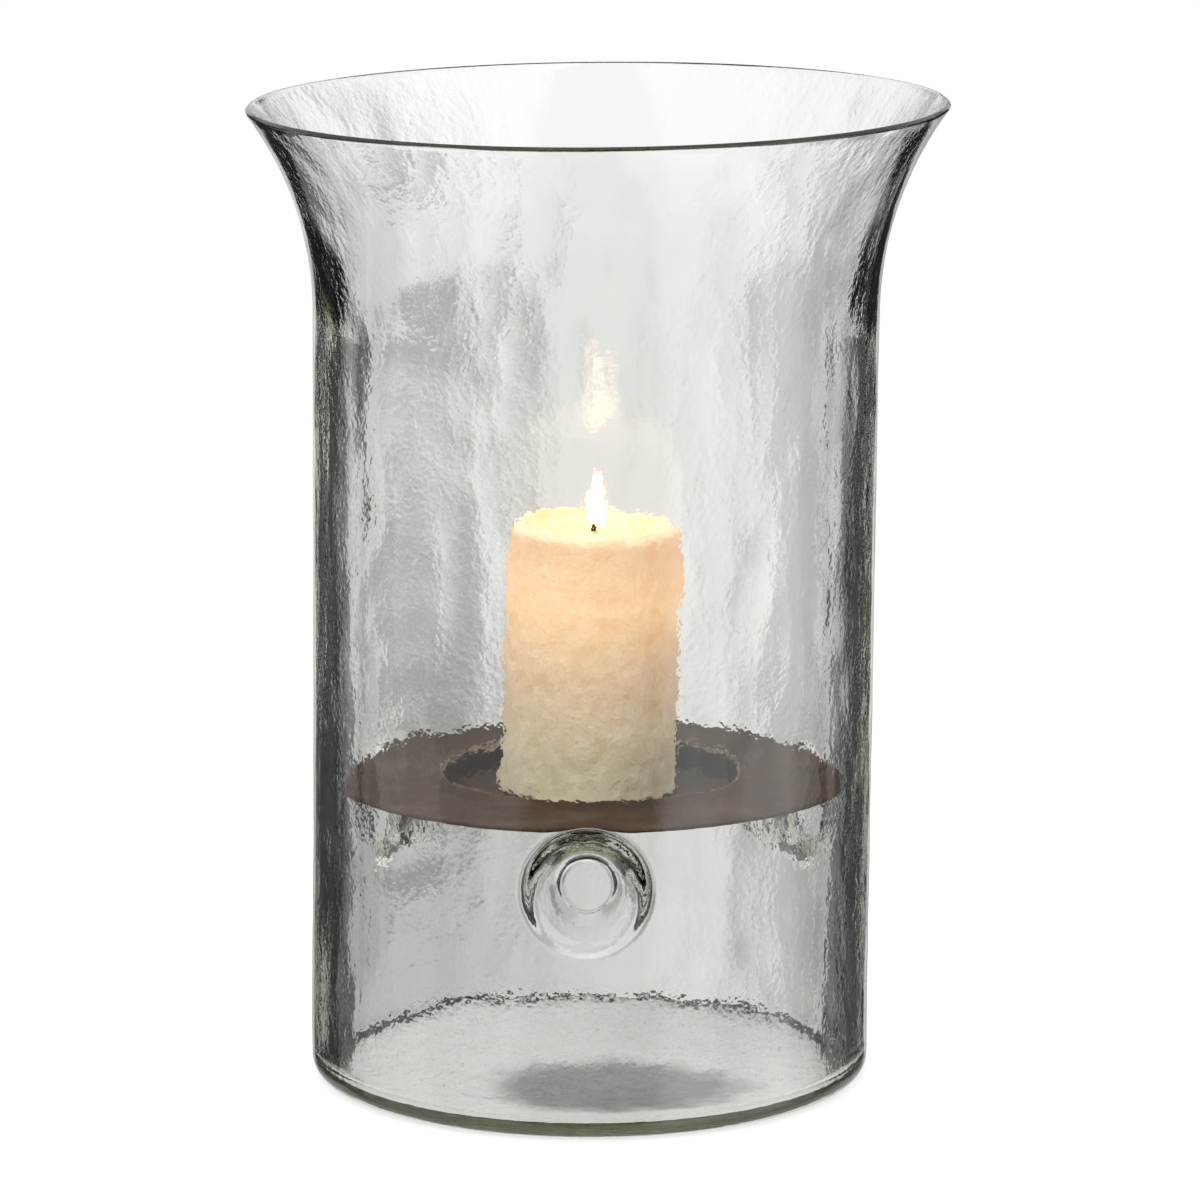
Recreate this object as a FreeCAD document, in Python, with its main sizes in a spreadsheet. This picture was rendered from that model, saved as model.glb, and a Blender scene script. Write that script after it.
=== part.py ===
"""Hurricane candle lantern: a thick blown-glass vessel with three pressed lugs, a loose
sheet-metal plate that rests on the lugs, and a pillar candle that stands in the plate's well.

Units are millimetres. Z points up, Z = 0 is the table, and the vessel's axis is the Z axis.
The front lug points along -Y.
"""

import FreeCAD, Part

import math
import os

import Sketcher

# Glass vessel: a straight body, a flared mouth and a flat closed base.
GLASS = {
    "overall_height": 400.0,
    "body_radius": 114.5,
    "rim_radius": 141.5,
    "flare_start": 316.0,
    "inner_flare_start": 300.0,
    "body_wall": 10.3,
    "lip_thickness": 3.0,
    "base_thickness": 8.5,
    "base_corner": 7.0,
    "floor_corner": 10.0,
}

# Lugs: cups pressed into the hot wall from outside, so that their inner ends carry the plate.
LUGS = {
    "lug_count": 3,
    "lug_height": 102.3,
    "lug_mouth_radius": 23.5,
    "lug_tip_radius": 11.0,
    "lug_depth": 22.0,
    "lug_wall": 4.4,
    "lug_tip_round": 3.5,
    "lug_lip": 4.0,
    "lug_root": 3.0,
}

# Candle plate: one sheet, pressed down in the middle into a round well.
PLATE = {
    "plate_clearance": 3.4,
    "plate_sheet": 1.5,
    "plate_edge_round": 0.4,
    "well_radius": 60.0,
    "well_floor_radius": 55.0,
    "well_depth": 6.5,
    "well_bend": 1.5,
    "seat_clearance": 0.3,
}

# Pillar candle with the bowl that burning has melted into its top.
CANDLE = {
    "candle_radius": 36.0,
    "candle_height": 112.0,
    "candle_foot_round": 2.0,
    "candle_rim_round": 4.0,
    "bowl_radius": 29.0,
    "pool_radius": 21.0,
    "pool_depth": 6.0,
}

# Wick and the metal tab that holds it in the foot of the candle.
WICK = {
    "wick_radius": 1.2,
    "wick_fit": 0.05,
    "wick_rise": 5.0,
    "wick_bend": 6.0,
    "wick_bend_angle": 40.0,
    "tab_radius": 10.0,
    "tab_sheet": 0.5,
    "tab_recess": 0.3,
    "tab_fit": 0.1,
    "neck_wall": 0.6,
    "neck_rise": 6.0,
}

SHEET = "Dimensions"
FULL_TURN = 360.0
FRONT_TURN = -90.0
HAIR = 0.01
EDGE_SAMPLES = 9


def cell(alias):
    """The expression that reads one cell of the sheet."""
    return SHEET + "." + alias


# Expressions shared by several pieces.
INNER_RADIUS = f"({cell('body_radius')} - {cell('body_wall')})"
PLATE_RADIUS = f"({INNER_RADIUS} - {cell('plate_clearance')})"
LUG_TIP_X = f"({cell('body_radius')} - {cell('lug_depth')})"
LUG_SLOPE = f"(({cell('lug_mouth_radius')} - {cell('lug_tip_radius')}) / {cell('lug_depth')})"
LUG_SECANT = f"sqrt(1 + {LUG_SLOPE} * {LUG_SLOPE})"
LUG_SKIN = f"({cell('lug_wall')} * {LUG_SECANT})"
SEAT_RISE = f"({cell('lug_tip_radius')} + {LUG_SLOPE} * ({PLATE_RADIUS} - {LUG_TIP_X}) + {LUG_SKIN})"
PLATE_SEAT = f"({cell('lug_height')} + {SEAT_RISE} + {cell('seat_clearance')})"
WELL_FLOOR = f"({PLATE_SEAT} + {cell('plate_sheet')} - {cell('well_depth')})"
POOL_LEVEL = f"({cell('candle_height')} - {cell('pool_depth')})"
WICK_BORE = f"({cell('wick_radius')} + {cell('wick_fit')})"
NECK_RADIUS = f"({WICK_BORE} + {cell('neck_wall')})"
TAB_TOP = f"({cell('tab_recess')} + {cell('tab_sheet')})"


def make_sheet(doc):
    """Write every driving dimension into the sheet, one named cell each."""
    sheet = doc.addObject("Spreadsheet::Sheet", SHEET)
    row = 1
    for group in (GLASS, LUGS, PLATE, CANDLE, WICK):
        for alias, value in group.items():
            sheet.set(f"A{row}", alias)
            sheet.set(f"B{row}", str(value))
            sheet.setAlias(f"B{row}", alias)
            row += 1
    doc.recompute()
    return sheet


class Draft:
    """One sketch of a body, with the calls that draw an outline and bind its sizes to the sheet."""

    # Numbers by which a sketch knows the places on a curve and its own axes.
    START, END, CENTRE = range(1, 4)
    UPRIGHT_AXIS, LEVEL_AXIS = range(-2, 0)
    ORIGIN = LEVEL_AXIS

    def __init__(self, body, name, role):
        """Attach a new sketch to the origin plane with this role."""
        self.sketch = body.newObject("Sketcher::SketchObject", name)
        plane = next(item for item in body.Origin.OriginFeatures if item.Role == role)
        self.sketch.AttachmentSupport = [(plane, "")]
        self.sketch.MapMode = "FlatFace"

    def read(self, expression):
        """The number that an expression stands for now."""
        return float(self.sketch.evalExpression(expression))

    def line(self, start, end):
        """Draw a straight segment."""
        first = FreeCAD.Vector(start[0], start[1], 0)
        last = FreeCAD.Vector(end[0], end[1], 0)
        return self.sketch.addGeometry(Part.LineSegment(first, last), False)

    def arc(self, centre, radius, first_angle, last_angle):
        """Draw an arc that runs anticlockwise between two angles in radians."""
        middle = FreeCAD.Vector(centre[0], centre[1], 0)
        circle = Part.Circle(middle, FreeCAD.Vector(0, 0, 1), radius)
        return self.sketch.addGeometry(Part.ArcOfCircle(circle, first_angle, last_angle), False)

    def rule(self, kind, *places):
        """Add a constraint that carries no size."""
        self.sketch.addConstraint(Sketcher.Constraint(kind, *places))

    def size(self, name, expression, kind, *places):
        """Add a constraint whose size follows an expression of the sheet."""
        index = self.sketch.addConstraint(Sketcher.Constraint(kind, *places, self.read(expression)))
        self.sketch.renameConstraint(index, name)
        self.sketch.setExpression("Constraints." + name, expression)

    def across(self, name, expression, piece, end):
        """Bind the distance of a point from the sketch's upright axis."""
        self.size(name, expression, "DistanceX", self.ORIGIN, self.START, piece, end)

    def above(self, name, expression, piece, end):
        """Bind the height of a point over the sketch's level axis."""
        self.size(name, expression, "DistanceY", self.ORIGIN, self.START, piece, end)

    def chain(self, pieces):
        """Join each piece's END to the next piece's START, all round."""
        for here, following in zip(pieces, pieces[1:] + pieces[:1]):
            self.rule("Coincident", here, self.END, following, self.START)


def make_body(doc, label):
    """An empty body whose label names the piece."""
    body = doc.addObject("PartDesign::Body", label)
    body.Label = label
    return body


def revolve(body, name, draft, kind="PartDesign::Revolution", axis="V_Axis"):
    """Turn a sketch once round one of its own axes."""
    feature = body.newObject(kind, name)
    feature.Profile = draft.sketch
    feature.ReferenceAxis = (draft.sketch, [axis])
    feature.Angle = FULL_TURN
    draft.sketch.Visibility = False
    body.Document.recompute()
    return feature


def repeat_round(body, name, feature):
    """Repeat a lug feature evenly round the vessel."""
    pattern = body.newObject("PartDesign::PolarPattern", name)
    pattern.Originals = [feature]
    upright = next(item for item in body.Origin.OriginFeatures if item.Role == "Z_Axis")
    pattern.Axis = (upright, [""])
    pattern.Angle = FULL_TURN
    pattern.setExpression("Occurrences", cell("lug_count"))
    body.Tip = pattern
    body.Document.recompute()
    return pattern


def round_edges(body, name, base, edges, radius):
    """Round the chosen edges of a body."""
    feature = body.newObject("PartDesign::Fillet", name)
    feature.Base = (base, edges)
    feature.setExpression("Radius", radius)
    body.Tip = feature
    body.Document.recompute()
    return feature


def edges_where(shape, test):
    """Names of the edges whose sampled points all pass a test."""
    names = []
    for number, edge in enumerate(shape.Edges, start=1):
        points = edge.discretize(Number=EDGE_SAMPLES)
        if all(test(point) for point in points):
            names.append(f"Edge{number}")
    return names


def glass_outline(body):
    """The section of the vessel: outside, rounded lip, inside and floor."""
    draft = Draft(body, "GlassSection", "XZ_Plane")
    quarter = math.pi / 2
    outer = draft.read(cell("body_radius"))
    inner = draft.read(INNER_RADIUS)
    corner = draft.read(cell("base_corner"))
    hollow = draft.read(cell("floor_corner"))
    floor = draft.read(cell("base_thickness"))
    flare = draft.read(cell("flare_start"))
    inner_flare = draft.read(cell("inner_flare_start"))
    lip = draft.read(cell("lip_thickness")) / 2
    lip_x = draft.read(cell("rim_radius")) - lip
    lip_z = draft.read(cell("overall_height")) - lip

    # Both flares leave the wall upright and meet the round lip smoothly.
    run = lip_x - outer
    rise = lip_z - flare
    bell = (run * run + rise * rise - lip * lip) / (2 * (run + lip))
    bell_turn = math.atan2(rise, bell - run)
    inner_run = lip_x - inner
    inner_rise = lip_z - inner_flare
    throat = (inner_run * inner_run + inner_rise * inner_rise - lip * lip) / (2 * (inner_run - lip))
    throat_turn = math.atan2(inner_rise, throat - inner_run)

    base = draft.line((0, 0), (outer - corner, 0))
    heel = draft.arc((outer - corner, corner), corner, -quarter, 0)
    wall = draft.line((outer, corner), (outer, flare))
    bell_arc = draft.arc((outer + bell, flare), bell, math.pi - bell_turn, math.pi)
    lip_arc = draft.arc((lip_x, lip_z), lip, -bell_turn, math.pi - throat_turn)
    throat_arc = draft.arc((inner + throat, inner_flare), throat, math.pi - throat_turn, math.pi)
    bore = draft.line((inner, inner_flare), (inner, floor + hollow))
    cove = draft.arc((inner - hollow, floor + hollow), hollow, -quarter, 0)
    bottom = draft.line((inner - hollow, floor), (0, floor))
    middle = draft.line((0, floor), (0, 0))

    draft.rule("Tangent", base, draft.END, heel, draft.START)
    draft.rule("Tangent", heel, draft.END, wall, draft.START)
    draft.rule("Tangent", wall, draft.END, bell_arc, draft.END)
    draft.rule("Tangent", bell_arc, draft.START, lip_arc, draft.START)
    draft.rule("Tangent", lip_arc, draft.END, throat_arc, draft.START)
    draft.rule("Tangent", throat_arc, draft.END, bore, draft.START)
    draft.rule("Tangent", bore, draft.END, cove, draft.END)
    draft.rule("Tangent", cove, draft.START, bottom, draft.START)
    draft.rule("Coincident", bottom, draft.END, middle, draft.START)
    draft.rule("Coincident", middle, draft.END, base, draft.START)
    draft.rule("Coincident", base, draft.START, draft.ORIGIN, draft.START)
    draft.rule("Horizontal", base)
    draft.rule("Vertical", wall)
    draft.rule("Vertical", bore)
    draft.rule("Horizontal", bottom)
    draft.rule("Vertical", middle)

    half_lip = f"{cell('lip_thickness')} / 2"
    draft.across("outer_radius", cell("body_radius"), wall, draft.START)
    draft.above("heel_height", cell("base_corner"), wall, draft.START)
    draft.above("flare_height", cell("flare_start"), wall, draft.END)
    draft.size("lip_round", half_lip, "Radius", lip_arc)
    draft.across("lip_reach", f"{cell('rim_radius')} - {half_lip}", lip_arc, draft.CENTRE)
    draft.above("lip_height", f"{cell('overall_height')} - {half_lip}", lip_arc, draft.CENTRE)
    draft.across("inner_radius", INNER_RADIUS, bore, draft.START)
    draft.above("throat_height", cell("inner_flare_start"), bore, draft.START)
    draft.above("floor_height", cell("base_thickness"), middle, draft.START)
    draft.size("floor_cove", cell("floor_corner"), "Radius", cove)
    return draft


def lug_outline(body, name, tip_x, tip_radius, mouth_x, tip_round):
    """Half the section of a blunt cone along the lug's axis; every size is an expression."""
    draft = Draft(body, name, "XZ_Plane")
    draft.sketch.setExpression("AttachmentOffset.Base.y", cell("lug_height"))
    slope = draft.read(LUG_SLOPE)
    lean = math.atan(slope)
    near = draft.read(tip_x)
    far = draft.read(mouth_x)
    small = draft.read(tip_radius)
    large = small + slope * (far - near)
    bend = draft.read(tip_round)
    reach = bend / math.tan((math.pi / 2 + lean) / 2)
    blend_start = (near, small - reach)
    blend_end = (near + reach * math.cos(lean), small + reach * math.sin(lean))

    end = draft.line((near, 0), blend_start)
    blend = draft.arc((near + bend, small - reach), bend, math.pi / 2 + lean, math.pi)
    flank = draft.line(blend_end, (far, large))
    mouth = draft.line((far, large), (far, 0))
    axis = draft.line((far, 0), (near, 0))

    draft.rule("Tangent", end, draft.END, blend, draft.END)
    draft.rule("Tangent", blend, draft.START, flank, draft.START)
    draft.rule("Coincident", flank, draft.END, mouth, draft.START)
    draft.rule("Coincident", mouth, draft.END, axis, draft.START)
    draft.rule("Coincident", axis, draft.END, end, draft.START)
    draft.rule("Vertical", end)
    draft.rule("Vertical", mouth)
    draft.rule("Horizontal", axis)
    draft.rule("PointOnObject", axis, draft.START, draft.LEVEL_AXIS)
    draft.across("tip_distance", tip_x, axis, draft.END)
    draft.across("mouth_distance", mouth_x, axis, draft.START)
    draft.size("tip_bend", tip_round, "Radius", blend)
    mouth_radius = f"{tip_radius} + {LUG_SLOPE} * ({mouth_x} - {tip_x})"
    draft.size("mouth_radius", mouth_radius, "DistanceY", mouth, draft.END, mouth, draft.START)
    draft.size("flank_lean", f"atan({LUG_SLOPE})", "Angle", flank)
    return draft


def make_glass(doc):
    """The vessel: a turned section with three lugs pressed in from outside."""
    body = make_body(doc, "glass_hurricane")
    revolve(body, "Vessel", glass_outline(body))

    # The lug's inner skin grows from the middle of the wall.
    skin_tip = f"({LUG_TIP_X} - {cell('lug_wall')})"
    skin_radius = f"({cell('lug_tip_radius')} - {LUG_SLOPE} * {cell('lug_wall')} + {LUG_SKIN})"
    skin_round = f"({cell('lug_tip_round')} + {cell('lug_wall')})"
    middle_wall = f"({cell('body_radius')} - {cell('body_wall')} / 2)"
    widest = f"({cell('lug_mouth_radius')} + {cell('lug_wall')})"
    skin_mouth = f"(sqrt({middle_wall} * {middle_wall} - {widest} * {widest}))"
    bump = lug_outline(body, "LugSkinSection", skin_tip, skin_radius, skin_mouth, skin_round)
    skin = revolve(body, "LugSkin", bump, axis="H_Axis")
    skins = repeat_round(body, "LugSkins", skin)

    # The inside of each lug runs out past the outer wall.
    pocket_mouth = f"({cell('body_radius')} + {cell('lug_lip')})"
    cup = lug_outline(
        body, "LugCupSection", LUG_TIP_X, cell("lug_tip_radius"), pocket_mouth, cell("lug_tip_round")
    )
    before = skins.Shape.Volume
    pocket = revolve(body, "LugCup", cup, kind="PartDesign::Groove", axis="H_Axis")
    if not pocket.Shape.Volume < before:
        raise ValueError("the lug cup must take glass away")
    cups = repeat_round(body, "LugCups", pocket)

    height = float(body.evalExpression(cell("lug_height")))
    outer = float(body.evalExpression(cell("body_radius")))
    inner = float(body.evalExpression(INNER_RADIUS))
    reach = float(body.evalExpression(widest))

    def near_lug(point, radius):
        """Whether a point lies on this cylinder at the height of the lugs."""
        on_wall = abs(math.hypot(point.x, point.y) - radius) < HAIR
        return on_wall and abs(point.z - height) < reach + HAIR

    roots = edges_where(cups.Shape, lambda point: near_lug(point, inner))
    rooted = round_edges(body, "LugRoots", cups, roots, cell("lug_root"))
    lips = edges_where(rooted.Shape, lambda point: near_lug(point, outer))
    round_edges(body, "LugLips", rooted, lips, cell("lug_lip"))

    # The first lug is drawn along +X and turned to the front.
    upright = FreeCAD.Vector(0, 0, 1)
    body.Placement = FreeCAD.Placement(FreeCAD.Vector(0, 0, 0), FreeCAD.Rotation(upright, FRONT_TURN))
    return body


def make_plate(doc):
    """The plate: a flat sheet ring with a round well pressed into its middle."""
    body = make_body(doc, "candle_plate")
    body.setExpression("Placement.Base.z", PLATE_SEAT)
    draft = Draft(body, "PlateSection", "XZ_Plane")
    edge = draft.read(PLATE_RADIUS)
    sheet = draft.read(cell("plate_sheet"))
    lip = draft.read(cell("well_radius"))
    foot = draft.read(cell("well_floor_radius"))
    drop = draft.read(cell("well_depth"))

    # The slanted wall keeps the sheet's thickness, measured square to it.
    lean = f"(({cell('well_radius')} - {cell('well_floor_radius')}) / {cell('well_depth')})"
    spread = f"({cell('plate_sheet')} * (sqrt(1 + {lean} * {lean}) - {lean}))"
    thick = draft.read(spread)

    top = draft.line((lip, sheet), (edge, sheet))
    rim = draft.line((edge, sheet), (edge, 0))
    under = draft.line((edge, 0), (lip + thick, 0))
    wall_out = draft.line((lip + thick, 0), (foot + thick, -drop))
    floor_under = draft.line((foot + thick, -drop), (0, -drop))
    middle = draft.line((0, -drop), (0, sheet - drop))
    floor_top = draft.line((0, sheet - drop), (foot, sheet - drop))
    wall_in = draft.line((foot, sheet - drop), (lip, sheet))
    draft.chain([top, rim, under, wall_out, floor_under, middle, floor_top, wall_in])
    draft.rule("Horizontal", top)
    draft.rule("Vertical", rim)
    draft.rule("Horizontal", under)
    draft.rule("Horizontal", floor_under)
    draft.rule("Vertical", middle)
    draft.rule("Horizontal", floor_top)
    draft.rule("Parallel", wall_in, wall_out)
    draft.rule("PointOnObject", rim, draft.END, draft.LEVEL_AXIS)
    draft.rule("PointOnObject", middle, draft.START, draft.UPRIGHT_AXIS)
    draft.across("edge_radius", PLATE_RADIUS, rim, draft.END)
    draft.above("sheet_top", cell("plate_sheet"), rim, draft.START)
    draft.across("well_lip", cell("well_radius"), top, draft.START)
    draft.across("well_foot", cell("well_floor_radius"), floor_top, draft.END)
    draft.size("well_drop", cell("well_depth"), "DistanceY", floor_top, draft.END, wall_in, draft.END)
    draft.size("floor_sheet", cell("plate_sheet"), "DistanceY", middle, draft.START, middle, draft.END)
    draft.size("wall_sheet", spread, "DistanceX", wall_in, draft.END, wall_out, draft.START)
    turned = revolve(body, "PressedSheet", draft)

    # Each bend has a small radius inside and the same centre outside.
    def ring(radius, height):
        """A test for points of one circle about the axis."""
        return lambda point: (
            abs(math.hypot(point.x, point.y) - radius) < HAIR and abs(point.z - height) < HAIR
        )

    def rings(shape, places):
        """Names of the circular edges at these places."""
        names = []
        for radius, height in places:
            names.extend(edges_where(shape, ring(radius, height)))
        return names

    bend = cell("well_bend")
    outer_bend = f"{cell('well_bend')} + {cell('plate_sheet')}"
    tight = rings(turned.Shape, [(lip + thick, 0), (foot, sheet - drop)])
    inside = round_edges(body, "TightBends", turned, tight, bend)
    wide = rings(inside.Shape, [(lip, sheet), (foot + thick, -drop)])
    outside = round_edges(body, "WideBends", inside, wide, outer_bend)
    cut = rings(outside.Shape, [(edge, 0), (edge, sheet)])
    round_edges(body, "CutEdge", outside, cut, cell("plate_edge_round"))
    return body


def make_candle(doc):
    """The pillar: turned wax with a melted bowl on top and a stepped bore for wick and tab."""
    body = make_body(doc, "pillar_candle")
    body.setExpression("Placement.Base.z", WELL_FLOOR)
    draft = Draft(body, "WaxSection", "XZ_Plane")
    quarter = math.pi / 2
    side = draft.read(cell("candle_radius"))
    top = draft.read(cell("candle_height"))
    foot = draft.read(cell("candle_foot_round"))
    rim = draft.read(cell("candle_rim_round"))
    bowl = draft.read(cell("bowl_radius"))
    pool = draft.read(cell("pool_radius"))
    level = draft.read(POOL_LEVEL)
    width = bowl - pool
    depth = top - level
    sweep = (width * width + depth * depth) / (2 * depth)
    climb = math.asin(min(1.0, width / sweep))
    if depth > sweep:
        climb = math.pi - climb

    base = draft.line((0, 0), (side - foot, 0))
    heel = draft.arc((side - foot, foot), foot, -quarter, 0)
    wall = draft.line((side, foot), (side, top - rim))
    shoulder = draft.arc((side - rim, top - rim), rim, 0, quarter)
    crown = draft.line((side - rim, top), (bowl, top))
    basin = draft.arc((pool, level + sweep), sweep, -quarter, -quarter + climb)
    surface = draft.line((pool, level), (0, level))
    middle = draft.line((0, level), (0, 0))
    draft.rule("Tangent", base, draft.END, heel, draft.START)
    draft.rule("Tangent", heel, draft.END, wall, draft.START)
    draft.rule("Tangent", wall, draft.END, shoulder, draft.START)
    draft.rule("Tangent", shoulder, draft.END, crown, draft.START)
    draft.rule("Coincident", crown, draft.END, basin, draft.END)
    draft.rule("Tangent", basin, draft.START, surface, draft.START)
    draft.rule("Coincident", surface, draft.END, middle, draft.START)
    draft.rule("Coincident", middle, draft.END, base, draft.START)
    draft.rule("Coincident", base, draft.START, draft.ORIGIN, draft.START)
    draft.rule("Horizontal", base)
    draft.rule("Vertical", wall)
    draft.rule("Horizontal", crown)
    draft.rule("Horizontal", surface)
    draft.rule("Vertical", middle)
    draft.across("side_radius", cell("candle_radius"), wall, draft.START)
    draft.above("foot_round", cell("candle_foot_round"), wall, draft.START)
    draft.size("rim_round", cell("candle_rim_round"), "Radius", shoulder)
    draft.above("top_height", cell("candle_height"), crown, draft.END)
    draft.across("bowl_reach", cell("bowl_radius"), crown, draft.END)
    draft.across("pool_reach", cell("pool_radius"), surface, draft.START)
    draft.above("pool_height", POOL_LEVEL, surface, draft.START)
    wax = revolve(body, "Wax", draft)

    # A wide step takes the tab, a narrower one its neck, and the rest the wick.
    step = Draft(body, "BoreSection", "XZ_Plane")
    tab_edge = f"({cell('tab_radius')} + {cell('tab_fit')})"
    tab_roof = f"({TAB_TOP} + {cell('tab_fit')})"
    neck_edge = f"({NECK_RADIUS} + {cell('tab_fit')})"
    neck_roof = f"({TAB_TOP} + {cell('neck_rise')} + {cell('tab_fit')})"
    wide = step.read(tab_edge)
    roof = step.read(tab_roof)
    narrow = step.read(neck_edge)
    collar = step.read(neck_roof)
    thread = step.read(WICK_BORE)
    mouth = step.line((0, 0), (wide, 0))
    tab_side = step.line((wide, 0), (wide, roof))
    tab_ceiling = step.line((wide, roof), (narrow, roof))
    neck_side = step.line((narrow, roof), (narrow, collar))
    neck_ceiling = step.line((narrow, collar), (thread, collar))
    thread_side = step.line((thread, collar), (thread, top))
    thread_top = step.line((thread, top), (0, top))
    centre = step.line((0, top), (0, 0))
    outline = [mouth, tab_side, tab_ceiling, neck_side, neck_ceiling, thread_side, thread_top, centre]
    step.chain(outline)
    for level_edge in (mouth, tab_ceiling, neck_ceiling, thread_top):
        step.rule("Horizontal", level_edge)
    for upright_edge in (tab_side, neck_side, thread_side, centre):
        step.rule("Vertical", upright_edge)
    step.rule("Coincident", mouth, step.START, step.ORIGIN, step.START)
    step.across("tab_edge", tab_edge, tab_side, step.START)
    step.above("tab_roof", tab_roof, tab_side, step.END)
    step.across("neck_edge", neck_edge, neck_side, step.START)
    step.above("neck_roof", neck_roof, neck_side, step.END)
    step.across("thread_edge", WICK_BORE, thread_side, step.START)
    step.above("thread_roof", cell("candle_height"), thread_side, step.END)
    bore = revolve(body, "Bore", step, kind="PartDesign::Groove")
    if not bore.Shape.Volume < wax.Shape.Volume:
        raise ValueError("the bore must take wax away")
    return body


def make_wick(doc):
    """The wick: a round braid that rises from the tab and bends over above the pool."""
    body = make_body(doc, "candle_wick")
    body.setExpression("Placement.Base.z", WELL_FLOOR)
    start_height = cell("tab_recess")
    straight_top = f"({POOL_LEVEL} + {cell('wick_rise')})"
    path = Draft(body, "WickPath", "XZ_Plane")
    low = path.read(start_height)
    high = path.read(straight_top)
    bend = path.read(cell("wick_bend"))
    turn = math.radians(path.read(cell("wick_bend_angle")))
    stem = path.line((0, low), (0, high))
    curl = path.arc((bend, high), bend, math.pi - turn, math.pi)
    spoke = path.line((bend, high), (bend - bend * math.cos(turn), high + bend * math.sin(turn)))
    path.sketch.setConstruction(spoke, True)
    path.rule("PointOnObject", stem, path.START, path.UPRIGHT_AXIS)
    path.rule("Vertical", stem)
    path.rule("Tangent", stem, path.END, curl, path.END)
    path.rule("Coincident", spoke, path.START, curl, path.CENTRE)
    path.rule("Coincident", spoke, path.END, curl, path.START)
    path.above("stem_foot", start_height, stem, path.START)
    path.above("stem_top", straight_top, stem, path.END)
    path.size("curl_radius", cell("wick_bend"), "Radius", curl)
    spoke_angle = f"(180 - {cell('wick_bend_angle')}) * 1 deg"
    path.size("curl_turn", spoke_angle, "Angle", spoke)

    braid = Draft(body, "WickSection", "XY_Plane")
    braid.sketch.setExpression("AttachmentOffset.Base.z", start_height)
    radius = braid.read(cell("wick_radius"))
    circle = Part.Circle(FreeCAD.Vector(0, 0, 0), FreeCAD.Vector(0, 0, 1), radius)
    ring = braid.sketch.addGeometry(circle, False)
    braid.rule("Coincident", ring, braid.CENTRE, braid.ORIGIN, braid.START)
    braid.size("braid_radius", cell("wick_radius"), "Radius", ring)
    doc.recompute()

    pipe = body.newObject("PartDesign::AdditivePipe", "Braid")
    pipe.Profile = braid.sketch
    pipe.Spine = (path.sketch, ["Edge1", "Edge2"])
    body.Tip = pipe
    doc.recompute()
    return body


def make_tab(doc):
    """The wick tab: a thin disc with a crimped neck round the wick."""
    body = make_body(doc, "wick_sustainer")
    body.setExpression("Placement.Base.z", WELL_FLOOR)
    draft = Draft(body, "TabSection", "XZ_Plane")
    hole = draft.read(WICK_BORE)
    neck = draft.read(NECK_RADIUS)
    edge = draft.read(cell("tab_radius"))
    low = draft.read(cell("tab_recess"))
    high = draft.read(TAB_TOP)
    neck_top = f"({TAB_TOP} + {cell('neck_rise')})"
    crest = draft.read(neck_top)
    under = draft.line((hole, low), (edge, low))
    rim = draft.line((edge, low), (edge, high))
    upper = draft.line((edge, high), (neck, high))
    collar = draft.line((neck, high), (neck, crest))
    mouth = draft.line((neck, crest), (hole, crest))
    bore = draft.line((hole, crest), (hole, low))
    draft.chain([under, rim, upper, collar, mouth, bore])
    for level_edge in (under, upper, mouth):
        draft.rule("Horizontal", level_edge)
    for upright_edge in (rim, collar, bore):
        draft.rule("Vertical", upright_edge)
    draft.across("hole_radius", WICK_BORE, under, draft.START)
    draft.above("under_height", cell("tab_recess"), under, draft.START)
    draft.across("edge_radius", cell("tab_radius"), rim, draft.START)
    draft.above("upper_height", TAB_TOP, rim, draft.END)
    draft.across("neck_radius", NECK_RADIUS, collar, draft.START)
    draft.above("neck_height", neck_top, collar, draft.END)
    revolve(body, "Tab", draft)
    return body


def check(doc, bodies):
    """Stop when any object failed to compute or any piece is not one sound solid."""
    for item in doc.Objects:
        if "Invalid" in item.State or "Error" in item.State:
            raise RuntimeError(f"{item.Label} did not compute: {item.State}")
    for body in bodies:
        shape = body.Shape
        if shape.isNull() or not shape.isValid() or len(shape.Solids) != 1:
            raise RuntimeError(f"{body.Label} is not one sound solid")


def main():
    """Build every piece, check it and write it out."""
    doc = FreeCAD.newDocument("HurricaneLantern")
    make_sheet(doc)
    bodies = [make_glass(doc), make_plate(doc), make_candle(doc), make_wick(doc), make_tab(doc)]
    doc.recompute()
    check(doc, bodies)
    os.makedirs("parts", exist_ok=True)
    for body in bodies:
        body.Shape.exportStep(os.path.join("parts", body.Label + ".step"))
        box = body.Shape.BoundBox
        print(body.Label, "volume", round(body.Shape.Volume), "Z", round(box.ZMin, 2), round(box.ZMax, 2))


main()
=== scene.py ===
"""Dress the hurricane candle lantern: blown glass vessel, pressed plate and burning pillar candle.

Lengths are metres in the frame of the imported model. +Z is up, and the front lug points along -Y.
"""

import logging
import math
from dataclasses import dataclass, field
from enum import Enum

import bpy
import numpy as np
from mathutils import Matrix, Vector, noise


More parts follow.
